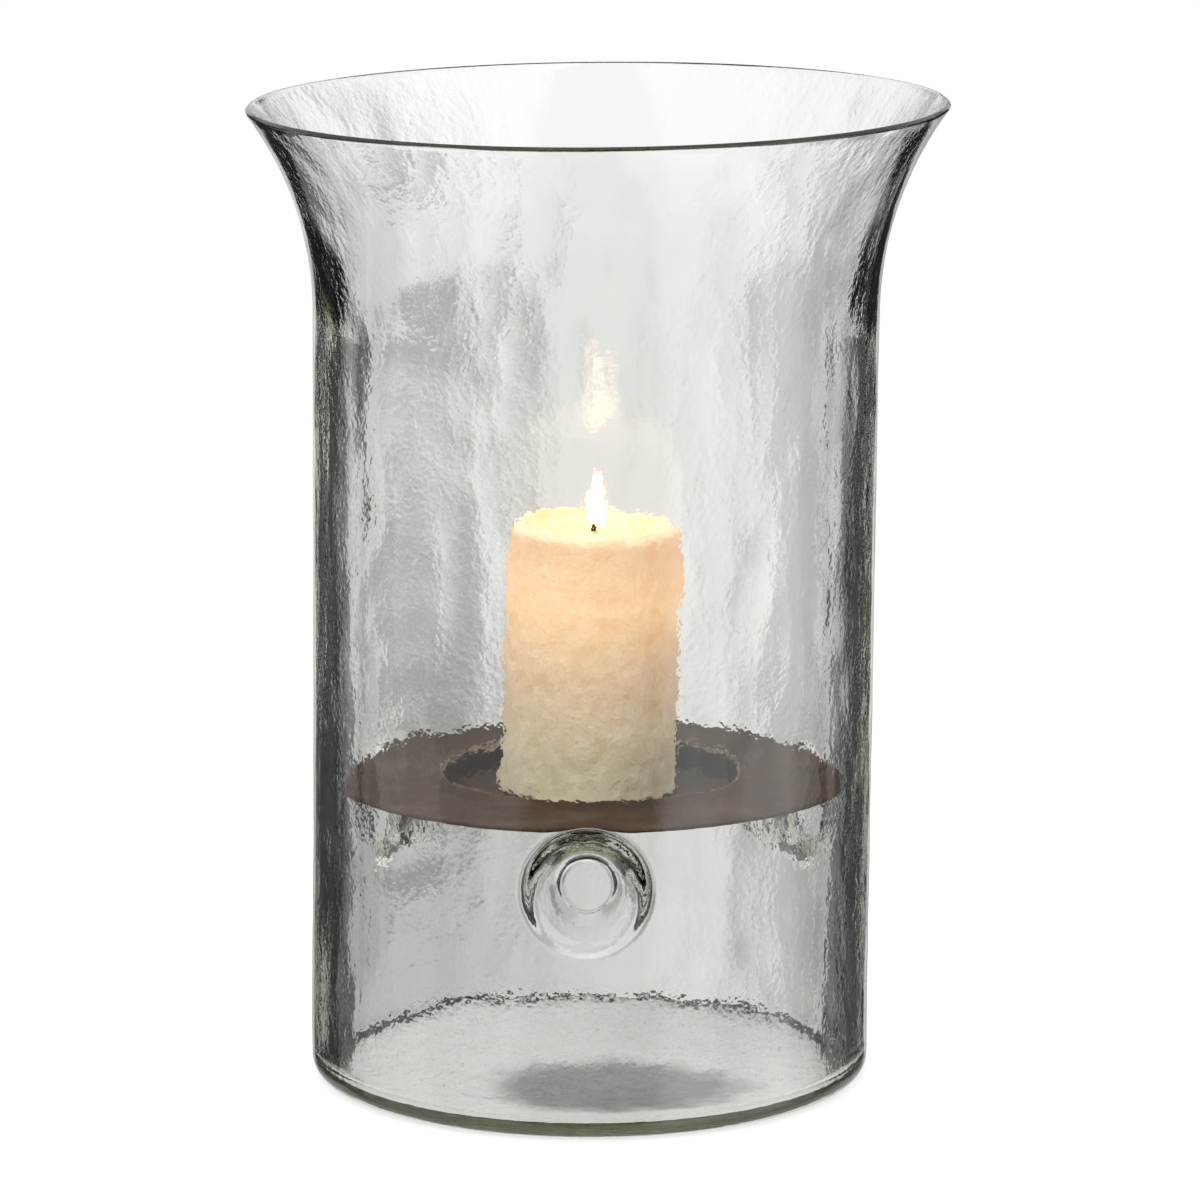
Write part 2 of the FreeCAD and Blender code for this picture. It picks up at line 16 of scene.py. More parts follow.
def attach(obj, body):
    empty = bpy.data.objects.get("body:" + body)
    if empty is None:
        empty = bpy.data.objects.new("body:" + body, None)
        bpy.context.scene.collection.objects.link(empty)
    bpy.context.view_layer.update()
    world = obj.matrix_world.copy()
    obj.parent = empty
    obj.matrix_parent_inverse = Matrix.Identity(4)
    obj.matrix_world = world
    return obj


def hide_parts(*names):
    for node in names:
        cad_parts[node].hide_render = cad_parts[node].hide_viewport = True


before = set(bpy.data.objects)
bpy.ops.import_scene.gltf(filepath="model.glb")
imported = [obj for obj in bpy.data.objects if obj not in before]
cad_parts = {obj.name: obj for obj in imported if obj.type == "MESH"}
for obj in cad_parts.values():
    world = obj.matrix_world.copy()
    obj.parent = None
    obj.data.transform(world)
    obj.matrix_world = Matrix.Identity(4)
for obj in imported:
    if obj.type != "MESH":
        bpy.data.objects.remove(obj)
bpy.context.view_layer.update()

LOG = logging.getLogger("hurricane_lantern")
MM = 0.001
FULL_TURN = 2.0 * math.pi

Colour = tuple[float, float, float]
Span = tuple[float, float]
Stops = tuple[tuple[float, Colour], ...]
Socket = bpy.types.NodeSocket

# A point times this is the same point at height 0.
LEVEL = np.array([1.0, 1.0, 0.0])


def degrees(low: float, high: float) -> Span:
    """A span of angles in radians."""
    return math.radians(low), math.radians(high)


class Body(Enum):
    """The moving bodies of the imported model."""

    VESSEL = "vessel"
    PLATE = "plate"
    CANDLE = "candle"


class Slot(Enum):
    """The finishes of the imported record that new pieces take."""

    GLASS = "clear_glass"
    PATINA = "plate_patina"
    WAX = "ivory_wax"
    WICK = "wick_cotton"


class Face(Enum):
    """The parts of the vessel's section, in the order in which it is walked."""

    BASE = 0
    OUTSIDE = 1
    LIP = 2
    INSIDE = 3
    FLOOR = 4


def smooth_least(first: np.ndarray, second: np.ndarray, blend: float) -> np.ndarray:
    """The lesser of two surfaces, with their crossing rounded.

    Args:
        first: Values of one surface.
        second: Values of the other surface.
        blend: Width over which the crossing is rounded.

    Returns:
        The rounded minimum.
    """
    share = np.clip(0.5 + 0.5 * (second - first) / blend, 0.0, 1.0)
    return second * (1.0 - share) + first * share - blend * share * (1.0 - share)


def smooth_most(first: np.ndarray, second: np.ndarray, blend: float) -> np.ndarray:
    """The greater of two surfaces, with their crossing rounded."""
    return -smooth_least(-first, -second, blend)


def ease(values: np.ndarray, low: float, high: float) -> np.ndarray:
    """Rise smoothly from 0 at low to 1 at high."""
    share = np.clip((values - low) / (high - low), 0.0, 1.0)
    return share * share * (3.0 - 2.0 * share)


def ripple(points: np.ndarray, across: float, along: float, seed: float) -> np.ndarray:
    """Smooth noise of about -1 to 1 at points on an upright surface.

    Args:
        points: Positions, one row each.
        across: Size of a wave level with the table.
        along: Size of a wave up the surface.
        seed: Shift that makes one pattern differ from another.

    Returns:
        One value for each point.
    """
    scaled = points / np.array([across, across, along]) + seed
    return np.array([noise.noise(Vector(place)) for place in scaled])


@dataclass(frozen=True)
class Relief:
    """One layer of an uneven surface: its depth, the size of its waves, and its own pattern."""

    depth: float
    across: float
    along: float
    seed: float

    def at(self, points: np.ndarray, shift: float = 0.0) -> np.ndarray:
        """Height of the layer at each point."""
        return self.depth * ripple(points, self.across, self.along, shift + self.seed)


def arc_points(centre: Span, radius: float, first: float, last: float, count: int) -> np.ndarray:
    """Points on an arc of a section, between two angles in radians.

    Args:
        centre: Distance from the axis, and height, of the arc's centre.
        radius: The arc's radius.
        first: Angle of the first point.
        last: Angle of the last point.
        count: How many points.

    Returns:
        Rows of distance from the axis and height.
    """
    angles = np.linspace(first, last, count)
    return np.column_stack((centre[0] + radius * np.cos(angles), centre[1] + radius * np.sin(angles)))


def line_points(start: Span, end: Span, step: float) -> np.ndarray:
    """Points on a straight stretch of a section, about a step apart."""
    count = max(2, int(math.ceil(math.dist(start, end) / step)) + 1)
    return np.linspace(start, end, count)


def lathe_points(section: np.ndarray, angles: np.ndarray) -> np.ndarray:
    """Turn a section round the upright axis.

    Args:
        section: Rows of distance from the axis and height.
        angles: Angles of the columns.

    Returns:
        Positions by row, column and axis.
    """
    rings = np.empty((len(section), len(angles), 3))
    rings[:, :, 0] = section[:, :1] * np.cos(angles)
    rings[:, :, 1] = section[:, :1] * np.sin(angles)
    rings[:, :, 2] = section[:, 1:]
    return rings


def round_angles(columns: int) -> np.ndarray:
    """Evenly spaced angles round a full turn."""
    return np.linspace(0.0, FULL_TURN, columns, endpoint=False)


def make_object(name: str, points: list, faces: list) -> bpy.types.Object:
    """Make a smooth mesh object and put it in the scene.

    Args:
        name: Name of the piece.
        points: Positions of its corners.
        faces: Numbers of the corners of each face.

    Returns:
        The new object.
    """
    mesh = bpy.data.meshes.new(name)
    mesh.from_pydata(points, [], faces)
    mesh.polygons.foreach_set("use_smooth", [True] * len(mesh.polygons))
    mesh.update()
    made = bpy.data.objects.new(name, mesh)
    bpy.context.scene.collection.objects.link(made)
    return made


def tube_faces(rows: int, columns: int, start: int = 0) -> list[tuple[int, ...]]:
    """Faces between closed rings of points.

    Args:
        rows: How many rings.
        columns: How many points in a ring.
        start: Number of the first point.

    Returns:
        Four corners for each face.
    """
    faces = []
    for here in range(start, start + (rows - 1) * columns, columns):
        above = here + columns
        for column in range(columns):
            beside = (column + 1) % columns
            faces.append((here + column, here + beside, above + beside, above + column))
    return faces


def skin(
    name: str, rings: np.ndarray, first: Colour | None = None, last: Colour | None = None
) -> bpy.types.Object:
    """Make a mesh over closed rings of points, capped by a single point at either end.

    Args:
        name: Name of the piece.
        rings: Positions by ring, place round the ring and axis.
        first: Point that closes the first ring, if any.
        last: Point that closes the last ring, if any.

    Returns:
        The new object.
    """
    rows, columns = rings.shape[:2]
    points = rings.reshape(-1, 3).tolist()
    faces = tube_faces(rows, columns)
    if first is not None:
        points.append(tuple(first))
        hub = len(points) - 1
        faces.extend((hub, (column + 1) % columns, column) for column in range(columns))
    if last is not None:
        points.append(tuple(last))
        hub = len(points) - 1
        top = (rows - 1) * columns
        faces.extend((hub, top + column, top + (column + 1) % columns) for column in range(columns))
    return make_object(name, points, faces)


class Graph:
    """Short calls that lay out a node tree."""

    def __init__(self, tree: bpy.types.NodeTree) -> None:
        """Start from an empty tree."""
        self.tree = tree
        tree.nodes.clear()

    def put(self, target: Socket, value: object) -> None:
        """Link a socket to an input, or set the input's own value.

        Args:
            target: The input.
            value: A socket, or a plain value.
        """
        if isinstance(value, Socket):
            self.tree.links.new(value, target)
        elif isinstance(value, tuple) and len(value) == 3 and target.type == "RGBA":
            target.default_value = (*value, 1.0)
        else:
            target.default_value = value

    def node(self, kind: str, inputs: dict | None = None, **settings: object) -> bpy.types.Node:
        """Add a node.

        Args:
            kind: The node's type.
            inputs: Values or sockets by input name or number.
            **settings: Properties of the node.

        Returns:
            The new node.
        """
        made = self.tree.nodes.new(kind)
        for name, value in settings.items():
            setattr(made, name, value)
        for name, value in (inputs or {}).items():
            self.put(made.inputs[name], value)
        return made

    def math(self, operation: str, *values: object) -> Socket:
        """The result of a math node."""
        made = self.node("ShaderNodeMath", dict(enumerate(values)), operation=operation)
        return made.outputs[0]

    def times(self, first: object, second: object) -> Socket:
        """The product of two values."""
        return self.math("MULTIPLY", first, second)

    def plus(self, first: object, second: object) -> Socket:
        """The sum of two values."""
        return self.math("ADD", first, second)

    def minus(self, first: object, second: object) -> Socket:
        """The first value less the second."""
        return self.math("SUBTRACT", first, second)

    def rest(self, share: object) -> Socket:
        """What a share leaves of 1."""
        return self.minus(1.0, share)

    def fade(self, share: object, first: object, second: object) -> Socket:
        """A value between two values."""
        return self.plus(self.times(first, self.rest(share)), self.times(second, share))

    def axes(self, vector: object) -> bpy.types.NodeOutputs:
        """The three parts of a vector, by axis name."""
        return self.node("ShaderNodeSeparateXYZ", {"Vector": vector}).outputs

    def length(self, vector: object) -> Socket:
        """The length of a vector."""
        return self.node("ShaderNodeVectorMath", {0: vector}, operation="LENGTH").outputs["Value"]

    def remap(self, value: object, **limits: float) -> Socket:
        """A value moved from one range to another; the limits not given are 0 and 1."""
        inputs = {name.replace("_", " ").title(): limit for name, limit in limits.items()}
        return self.node("ShaderNodeMapRange", {"Value": value, **inputs}).outputs["Result"]

    def surface(self, output: bpy.types.Node, inputs: dict) -> None:
        """Lead a principled surface to the output."""
        shader = self.node("ShaderNodeBsdfPrincipled", inputs)
        self.put(output.inputs["Surface"], shader.outputs["BSDF"])

    def blend(self, share: object, first: bpy.types.Node, second: bpy.types.Node) -> bpy.types.Node:
        """A shader between two shaders."""
        inputs = {0: share, 1: first.outputs[0], 2: second.outputs[0]}
        return self.node("ShaderNodeMixShader", inputs)

    def rise(self, value: object, low: float, high: float) -> Socket:
        """A smooth step from 0 at low to 1 at high."""
        inputs = {"Value": value, "From Min": low, "From Max": high}
        return self.node("ShaderNodeMapRange", inputs, interpolation_type="SMOOTHSTEP").outputs["Result"]

    def speckle(self, vector: object, size: float, detail: float = 2.0) -> Socket:
        """Noise of 0 to 1 whose grains are about a size across."""
        inputs = {"Vector": vector, "Scale": 1.0 / size, "Detail": detail}
        return self.node("ShaderNodeTexNoise", inputs).outputs["Fac"]

    def ramp(self, value: object, stops: Stops) -> Socket:
        """Colours along a value.

        Args:
            value: Socket that runs from 0 to 1.
            stops: Place and colour of each stop.

        Returns:
            The colour socket.
        """
        made = self.node("ShaderNodeValToRGB", {"Fac": value})
        bar = made.color_ramp.elements
        while len(bar) < len(stops):
            bar.new(0.5)
        for element, (place, colour) in zip(bar, stops):
            element.position = place
            element.color = (*colour, 1.0)
        return made.outputs["Color"]

    def mix(self, share: object, first: object, second: object) -> Socket:
        """A colour between two colours."""
        made = self.node("ShaderNodeMix", {0: share, 6: first, 7: second}, data_type="RGBA")
        return made.outputs[2]

    def place(self) -> Socket:
        """The position on the piece in its own space."""
        return self.node("ShaderNodeTexCoord").outputs["Object"]

    def stretch(self, vector: object, scale: Colour) -> Socket:
        """A position scaled along each axis."""
        inputs = {"Vector": vector, "Scale": scale}
        return self.node("ShaderNodeMapping", inputs).outputs["Vector"]

    def bump(self, height: object, depth: float, normal: object | None = None) -> Socket:
        """A surface raised by a height, in metres of depth.

        Args:
            height: Height of the surface, 0 to 1.
            depth: Depth that a height of 1 stands for.
            normal: Normal of the surface below, if any.

        Returns:
            The raised normal.
        """
        inputs = {"Height": height, "Distance": depth, "Strength": 1.0}
        if normal is not None:
            inputs["Normal"] = normal
        return self.node("ShaderNodeBump", inputs).outputs["Normal"]


def new_material(name: str) -> tuple[bpy.types.Material, Graph, bpy.types.Node]:
    """A material with an empty tree and its output node.

    Args:
        name: Name of the material.

    Returns:
        The material, its node graph and its output node.
    """
    made = bpy.data.materials.new(name)
    made.use_nodes = True
    graph = Graph(made.node_tree)
    return made, graph, graph.node("ShaderNodeOutputMaterial")


@dataclass(frozen=True)
class ClearGlass:
    """Thick blown glass with a faint green-grey body colour and a pebbled skin."""

    tint: Colour = (0.806, 0.820, 0.748)
    density: float = 31.0
    bend: float = 1.5
    roughness: float = 0.015
    pebble: float = 2.7 * MM
    pebble_depth: float = 0.065 * MM
    streak: float = 9.0 * MM
    streak_depth: float = 0.12 * MM
    streak_squash: Colour = (1.0, 1.0, 0.32)

    def material(self) -> bpy.types.Material:
        """Build the glass.

        Returns:
            The material.
        """
        made, graph, output = new_material("clear_glass")
        place = graph.place()
        pebbles = graph.speckle(place, self.pebble, detail=1.5)
        streaks = graph.speckle(graph.stretch(place, self.streak_squash), self.streak, detail=1.0)
        rough = graph.bump(pebbles, self.pebble_depth)
        surface = graph.bump(streaks, self.streak_depth, rough)
        inputs = {
            "Base Color": (1.0, 1.0, 1.0),
            "Roughness": self.roughness,
            "IOR": self.bend,
            "Transmission Weight": 1.0,
            "Normal": surface,
        }
        graph.surface(output, inputs)
        depth = graph.node("ShaderNodeVolumeAbsorption", {"Color": self.tint, "Density": self.density})
        graph.put(output.inputs["Volume"], depth.outputs["Volume"])
        return made


@dataclass(frozen=True)
class PlatePatina:
    """Oxidised sheet steel: mottled brown with greyer bloom and rust freckles, darker in the well, with a
    paler ring round its rim and painted shade on its wall.
    """

    dark: Colour = (0.040, 0.026, 0.019)
    tones: Stops = ((0.32, dark), (0.50, (0.052, 0.027, 0.013)), (0.68, (0.096, 0.066, 0.048)))
    rust: Colour = (0.105, 0.052, 0.028)
    # Paler colour of a ring along the well's rim.
    rim_pale: Colour = (0.260, 0.215, 0.170)
    # Painted shade: near-black colour painted on the well's wall.
    shadowed: Colour = (0.010, 0.008, 0.007)
    # Darker towards the floor of the well.
    well_floor_darkening: float = 0.20
    wall_rough: float = 0.60
    well_radius: float = 61.8 * MM
    well_floor: float = 55.5 * MM
    rim_pale_core: float = 0.3 * MM
    edge_band_width: float = 1.5 * MM
    rim_pale_speckle: Span = (0.34, 0.56)
    rust_share: Span = (0.58, 0.72)
    grain_share: Span = (0.35, 0.75)
    grain_weight: float = 0.35
    cloud: float = 26.0 * MM
    freckle: float = 3.2 * MM
    grain: float = 0.9 * MM
    dent: float = 13.0 * MM
    dent_depth: float = 0.9 * MM
    grain_depth: float = 0.12 * MM
    metallic: float = 0.10
    smooth: float = 0.55
    coarse: float = 0.85

    def material(self) -> bpy.types.Material:
        """Build the patina.

        Returns:
            The material.
        """
        made, graph, output = new_material("plate_patina")
        place = graph.place()
        clouds = graph.speckle(place, self.cloud, detail=4.0)
        freckles = graph.speckle(place, self.freckle, detail=3.0)
        grain = graph.speckle(place, self.grain, detail=2.0)
        base = graph.ramp(clouds, self.tones)
        rusted = graph.mix(graph.rise(freckles, *self.rust_share), base, self.rust)
        shade = graph.mix(graph.rise(grain, *self.grain_share), rusted, self.dark)
        skin_colour = graph.mix(self.grain_weight, rusted, shade)
        reach = graph.length(graph.stretch(place, (1.0, 1.0, 0.0)))
        # Darker across the well's floor, fading out up its wall.
        well = graph.rest(graph.rise(reach, self.well_floor, self.well_radius))
        darkened_and_wall_shaded = graph.mix(graph.times(well, self.well_floor_darkening), skin_colour, self.dark)
        foot = graph.rise(reach, self.well_floor - self.edge_band_width, self.well_floor)
        brow = graph.rise(reach, self.well_radius - self.edge_band_width, self.well_radius)
        wall = graph.minus(foot, brow)
        # Painted shade: the well's wall is painted near black.
        darkened_and_wall_shaded = graph.mix(wall, darkened_and_wall_shaded, self.shadowed)
        # A paler ring along the well's rim, broken by speckle.
        miss = graph.math("ABSOLUTE", graph.minus(reach, self.well_radius))
        ring = graph.rest(graph.rise(miss, self.rim_pale_core, self.edge_band_width))
        rim_pale_mask = graph.times(ring, graph.rise(freckles, *self.rim_pale_speckle))
        rough = graph.remap(clouds, to_min=self.smooth, to_max=self.coarse)
        rough = graph.fade(wall, rough, self.wall_rough)
        dents = graph.bump(graph.speckle(place, self.dent, detail=1.0), self.dent_depth)
        surface = graph.bump(grain, self.grain_depth, dents)
        inputs = {
            "Base Color": graph.mix(rim_pale_mask, darkened_and_wall_shaded, self.rim_pale),
            "Metallic": self.metallic,
            "Roughness": rough,
            "Normal": surface,
        }
        graph.surface(output, inputs)
        return made


@dataclass(frozen=True)
class IvoryWax:
    """Rustic candle wax: mottled ivory, with a painted glow from the burning end that stands for the
    flame's light shining through the wax.
    """

    tones: Stops = ((0.30, (0.70, 0.61, 0.42)), (0.70, (0.81, 0.74, 0.56)))
    cloud: float = 9.0 * MM
    grain: float = 1.6 * MM
    pit_depth: float = 0.5 * MM
    # Painted glow: emission colours by height stand for the flame's light shining through the wax.
    painted_glow_low: float = 0.118
    painted_glow_high: float = 0.231
    painted_glow_strength: float = 1.0
    glow: Stops = (
        (0.12, (0.0, 0.0, 0.0)),
        (0.47, (0.21, 0.075, 0.02)),
        (0.72, (0.58, 0.26, 0.09)),
        (0.95, (0.46, 0.19, 0.07)),
    )
    sss_weight: float = 0.35
    sss_reach: Colour = (1.0, 0.55, 0.25)
    sss_scale: float = 6.0 * MM
    roughness: float = 0.48

    def material(self) -> bpy.types.Material:
        """Build the wax.

        Returns:
            The material.
        """
        made, graph, output = new_material("ivory_wax")
        place = graph.place()
        clouds = graph.speckle(place, self.cloud, detail=4.0)
        grain = graph.speckle(place, self.grain, detail=3.0)
        share = graph.remap(graph.axes(place)["Z"], from_min=self.painted_glow_low, from_max=self.painted_glow_high)
        inputs = {
            "Base Color": graph.ramp(clouds, self.tones),
            "Roughness": self.roughness,
            "Subsurface Weight": self.sss_weight,
            "Subsurface Radius": self.sss_reach,
            "Subsurface Scale": self.sss_scale,
            # Painted glow: the wax is given its own light, brightest near the burning end.
            "Emission Color": graph.ramp(share, self.glow),
            "Emission Strength": self.painted_glow_strength,
            "Normal": graph.bump(grain, self.pit_depth),
        }
        graph.surface(output, inputs)
        return made


@dataclass(frozen=True)
class MoltenWax:
    """Clear liquid wax with a painted glow that stands for the light of the flame on it."""

    colour: Colour = (0.88, 0.74, 0.50)
    glow: Colour = (1.0, 0.74, 0.40)
    # Painted glow: the liquid wax's own emission, standing for the flame's light.
    strength: float = 0.08
    swirl: float = 7.0 * MM
    roughness: float = 0.08
    coat: float = 0.5

    def material(self) -> bpy.types.Material:
        """Build the melt.

        Returns:
            The material.
        """
        made, graph, output = new_material("molten_wax")
        swirl = graph.speckle(graph.place(), self.swirl, detail=2.0)
        inputs = {
            "Base Color": graph.mix(swirl, self.colour, self.glow),
            "Roughness": self.roughness,
            "Coat Weight": self.coat,
            # Painted glow from the flame's light.
            "Emission Color": self.glow,
            "Emission Strength": self.strength,
        }
        graph.surface(output, inputs)
        return made


@dataclass(frozen=True)
class CharredCotton:
    """Braided cotton, pale in the wax and charred where it burns."""

    cotton: Colour = (0.62, 0.52, 0.36)
    char: Colour = (0.020, 0.014, 0.011)
    char_low: float = 0.2215
    char_high: float = 0.2245
    fibre: float = 0.5 * MM
    fibre_depth: float = 0.15 * MM
    roughness: float = 0.9

    def material(self) -> bpy.types.Material:
        """Build the wick's finish.

        Returns:
            The material.
        """
        made, graph, output = new_material("wick_cotton")
        place = graph.place()
        fibres = graph.speckle(place, self.fibre, detail=2.0)
        burnt = graph.rise(graph.axes(place)["Z"], self.char_low, self.char_high)
        colour = graph.mix(burnt, graph.mix(fibres, self.cotton, self.char), self.char)
        inputs = {
            "Base Color": colour,
            "Roughness": self.roughness,
            "Normal": graph.bump(fibres, self.fibre_depth),
        }
        graph.surface(output, inputs)
        return made


@dataclass(frozen=True)
class TinPlate:
    """Thin tinned steel with rolling marks."""

    bright: Colour = (0.72, 0.72, 0.70)
    dull: Colour = (0.50, 0.50, 0.48)
    mark: float = 1.5 * MM
    mark_stretch: Colour = (1.0, 0.08, 1.0)
    smooth: float = 0.28
    coarse: float = 0.50

    def material(self) -> bpy.types.Material:
        """Build the tin.

        Returns:
            The material.
        """
        made, graph, output = new_material("tin_plate")
        marks = graph.speckle(graph.stretch(graph.place(), self.mark_stretch), self.mark, detail=3.0)
        inputs = {
            "Base Color": graph.mix(marks, self.dull, self.bright),
            "Metallic": 1.0,
            "Roughness": graph.remap(marks, to_min=self.smooth, to_max=self.coarse),
        }
        graph.surface(output, inputs)
        return made


@dataclass(frozen=True)
class FlameLight:
    """A candle flame's light, from its root to its tip."""

    name: str
    tones: Stops
    strength: float
    low: float
    high: float
    cover: float = 1.0

    def material(self) -> bpy.types.Material:
        """Build the light.

        Returns:
            The material.
        """
        made, graph, output = new_material(self.name)
        share = graph.remap(graph.axes(graph.place())["Z"], from_min=self.low, from_max=self.high)
        inputs = {
            "Base Color": (0.0, 0.0, 0.0),
            "Roughness": 1.0,
            "Specular IOR Level": 0.0,
            "Emission Color": graph.ramp(share, self.tones),
            "Emission Strength": self.strength,
            "Alpha": self.cover,
        }
        graph.surface(output, inputs)
        return made


def dress(
    piece: bpy.types.Object, material: bpy.types.Material, body: Body
) -> None:
    """Give a piece its finish and the body that it moves with.

    Args:
        piece: The object.
        material: Its finish.
        body: The body that it rides on.
    """
    piece.data.materials.clear()
    piece.data.materials.append(material)
    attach(piece, body.value)
    LOG.info("%s rides on %s with %d faces", piece.name, body.value, len(piece.data.polygons))


@dataclass
class Lug:
    """One cup pressed into the wall from outside."""

    count: int = 3
    height: float = 100.1 * MM
    mouth_radius: float = 19.3 * MM
    tip_radius: float = 11.3 * MM
    depth: float = 19.0 * MM
    wall: float = 8.9 * MM
    mouth_blend: float = 12.3 * MM
    tip_blend: float = 2.5 * MM
    seat_blend: float = 7.0 * MM
    root_blend: float = 8.2 * MM
    front: float = math.radians(-91.0)
    zone: float = 33.0 * MM
    calm_near: float = 22.0 * MM
    calm_far: float = 46.0 * MM

    def bearings(self) -> list[float]:
        """The angle of each lug round the vessel."""
        return [self.front + FULL_TURN * number / self.count for number in range(self.count)]

    def flank(self, spread: np.ndarray, tip: float, radius: float, blend: float) -> np.ndarray:
        """Distance from the vessel's axis of a blunt cone's surface.

        Args:
            spread: Distance from the lug's own axis.
            tip: Distance of the cone's blunt end from the vessel's axis.
            radius: Radius of the cone at that end.
            blend: How far its blunt end is rounded.

        Returns:
            One distance for each point.
        """
        lean = (self.mouth_radius - self.tip_radius) / self.depth
        return smooth_most(np.full_like(spread, tip), tip + (spread - radius) / lean, blend)


@dataclass
class GlassVessel:
    """The blown vessel: straight body, flared mouth, flat base and pressed lugs."""

    height: float = 400.0 * MM
    body_radius: float = 114.5 * MM
    rim_radius: float = 141.5 * MM
    flare_start: float = 316.0 * MM
    inner_flare_start: float = 300.0 * MM
    body_wall: float = 10.3 * MM
    lip_thickness: float = 2.6 * MM
    lip_square: float = 4.0
    lip_rows: int = 19
    base_thickness: float = 4.5 * MM
    base_corner: float = 7.0 * MM
    floor_corner: float = 6.0 * MM
    lug: Lug = field(default_factory=Lug)
    wall_step: float = 3.2 * MM
    lug_step: float = 1.35 * MM
    flat_step: float = 9.0 * MM
    lean: float = 0.0089
    rim_tilt: float = 0.0078
    # Broad waves, upright streaks and small dapples.
    layers: tuple[Relief, ...] = (
        Relief(0.60 * MM, 62.0 * MM, 95.0 * MM, 0.0),
        Relief(0.18 * MM, 15.0 * MM, 48.0 * MM, 7.3),
        Relief(0.12 * MM, 13.0 * MM, 16.0 * MM, 13.9),
    )
    outside_seed: float = 3.1
    inside_seed: float = 41.7
    wide_step: float = 1.15
    lip_calm: float = 0.7
    lip_zone: float = 6.0
    heel_zone: float = 3.0
    heel_rows: int = 8
    cove_rows: int = 9

    def angles(self) -> np.ndarray:
        """Angles of the columns, closer together across each lug.

        Returns:
            One angle for each column.
        """
        half = math.asin(self.lug.zone / self.body_radius)
        pitch = FULL_TURN / self.lug.count
        fine = int(math.ceil(2.0 * half * self.body_radius / self.lug_step))
        wide = int(math.ceil((pitch - 2.0 * half) * self.body_radius / (self.wide_step * self.wall_step)))
        columns = []
        for bearing in self.lug.bearings():
            columns.extend(np.linspace(bearing - half, bearing + half, fine, endpoint=False))
            columns.extend(np.linspace(bearing + half, bearing + pitch - half, wide, endpoint=False))
        return np.array(columns)

    def wall_heights(self, low: float, high: float) -> np.ndarray:
        """Heights of the rows of an upright wall, closer together at the lugs.

        Args:
            low: Height of the first row.
            high: Height of the last row.

        Returns:
            One height for each row.
        """
        under = self.lug.height - self.lug.zone
        over = self.lug.height + self.lug.zone
        pieces = [
            line_points((0.0, low), (0.0, under), self.wall_step)[:-1, 1],
            line_points((0.0, under), (0.0, over), self.lug_step)[:-1, 1],
            line_points((0.0, over), (0.0, high), self.wall_step)[:, 1],
        ]
        return np.concatenate(pieces)

    def section(self) -> tuple[np.ndarray, np.ndarray]:
        """The vessel's section, from the middle of the base round to the middle of the floor.

        Returns:
            Rows of distance and height, and the face that each row belongs to.
        """
        quarter = math.pi / 2.0
        outer = self.body_radius
        inner = outer - self.body_wall
        lip = self.lip_thickness / 2.0
        lip_x = self.rim_radius - lip
        lip_z = self.height - lip
        run = lip_x - outer
        rise = lip_z - self.flare_start
        bell = (run * run + rise * rise - lip * lip) / (2.0 * (run + lip))
        bell_turn = math.atan2(rise, bell - run)
        inner_run = lip_x - inner
        inner_rise = lip_z - self.inner_flare_start
        throat = (inner_run**2 + inner_rise**2 - lip * lip) / (2.0 * (inner_run - lip))
        throat_turn = math.atan2(inner_rise, throat - inner_run)
        heel = outer - self.base_corner
        cove = inner - self.floor_corner
        sill = self.base_thickness + self.floor_corner
        outside = self.wall_heights(self.base_corner, self.flare_start)
        inside = self.wall_heights(sill, self.inner_flare_start)[::-1]
        floor = self.base_thickness
        bell_rows = int(bell * bell_turn / self.wall_step)
        throat_rows = int(throat * throat_turn / self.wall_step)
        bell_end = math.pi - bell_turn
        throat_start = math.pi - throat_turn
        heel_arc = arc_points((heel, self.base_corner), self.base_corner, -quarter, 0.0, self.heel_rows)
        bell_arc = arc_points((outer + bell, self.flare_start), bell, math.pi, bell_end, bell_rows)
        throat_hub = (inner + throat, self.inner_flare_start)
        throat_arc = arc_points(throat_hub, throat, throat_start, math.pi, throat_rows)
        cove_arc = arc_points((cove, sill), self.floor_corner, 0.0, -quarter, self.cove_rows)
        stretches = [
            (Face.BASE, line_points((self.flat_step, 0.0), (heel, 0.0), self.flat_step)[:-1]),
            (Face.OUTSIDE, heel_arc[:-1]),
            (Face.OUTSIDE, np.column_stack((np.full_like(outside, outer), outside))[:-1]),
            (Face.OUTSIDE, bell_arc),
            (Face.LIP, self.lip_points((lip_x, lip_z), -bell_turn, throat_start)[1:-1]),
            (Face.INSIDE, throat_arc[:-1]),
            (Face.INSIDE, np.column_stack((np.full_like(inside, inner), inside))[:-1]),
            (Face.FLOOR, cove_arc[:-1]),
            (Face.FLOOR, line_points((cove, floor), (self.flat_step, floor), self.flat_step)),
        ]
        rows = np.concatenate([stretch for _, stretch in stretches])
        faces = np.concatenate([np.full(len(stretch), face.value) for face, stretch in stretches])
        return rows, faces

    def lip_points(self, centre: Span, first: float, last: float) -> np.ndarray:
        """The lip's section: a flat top with softened edges.

        Args:
            centre: Middle of the lip.
            first: Angle at which the outside ends.
            last: Angle at which the inside starts.

        Returns:
            Rows of distance and height.
        """
        turns = np.linspace(first, last, self.lip_rows)
        lean = turns - (first + last) / 2.0
        power = self.lip_square
        spread = (np.abs(np.cos(lean)) ** power + np.abs(np.sin(lean)) ** power) ** (-1.0 / power)
        reach = self.lip_thickness / 2.0 * spread
        return np.column_stack((centre[0] + reach * np.cos(turns), centre[1] + reach * np.sin(turns)))

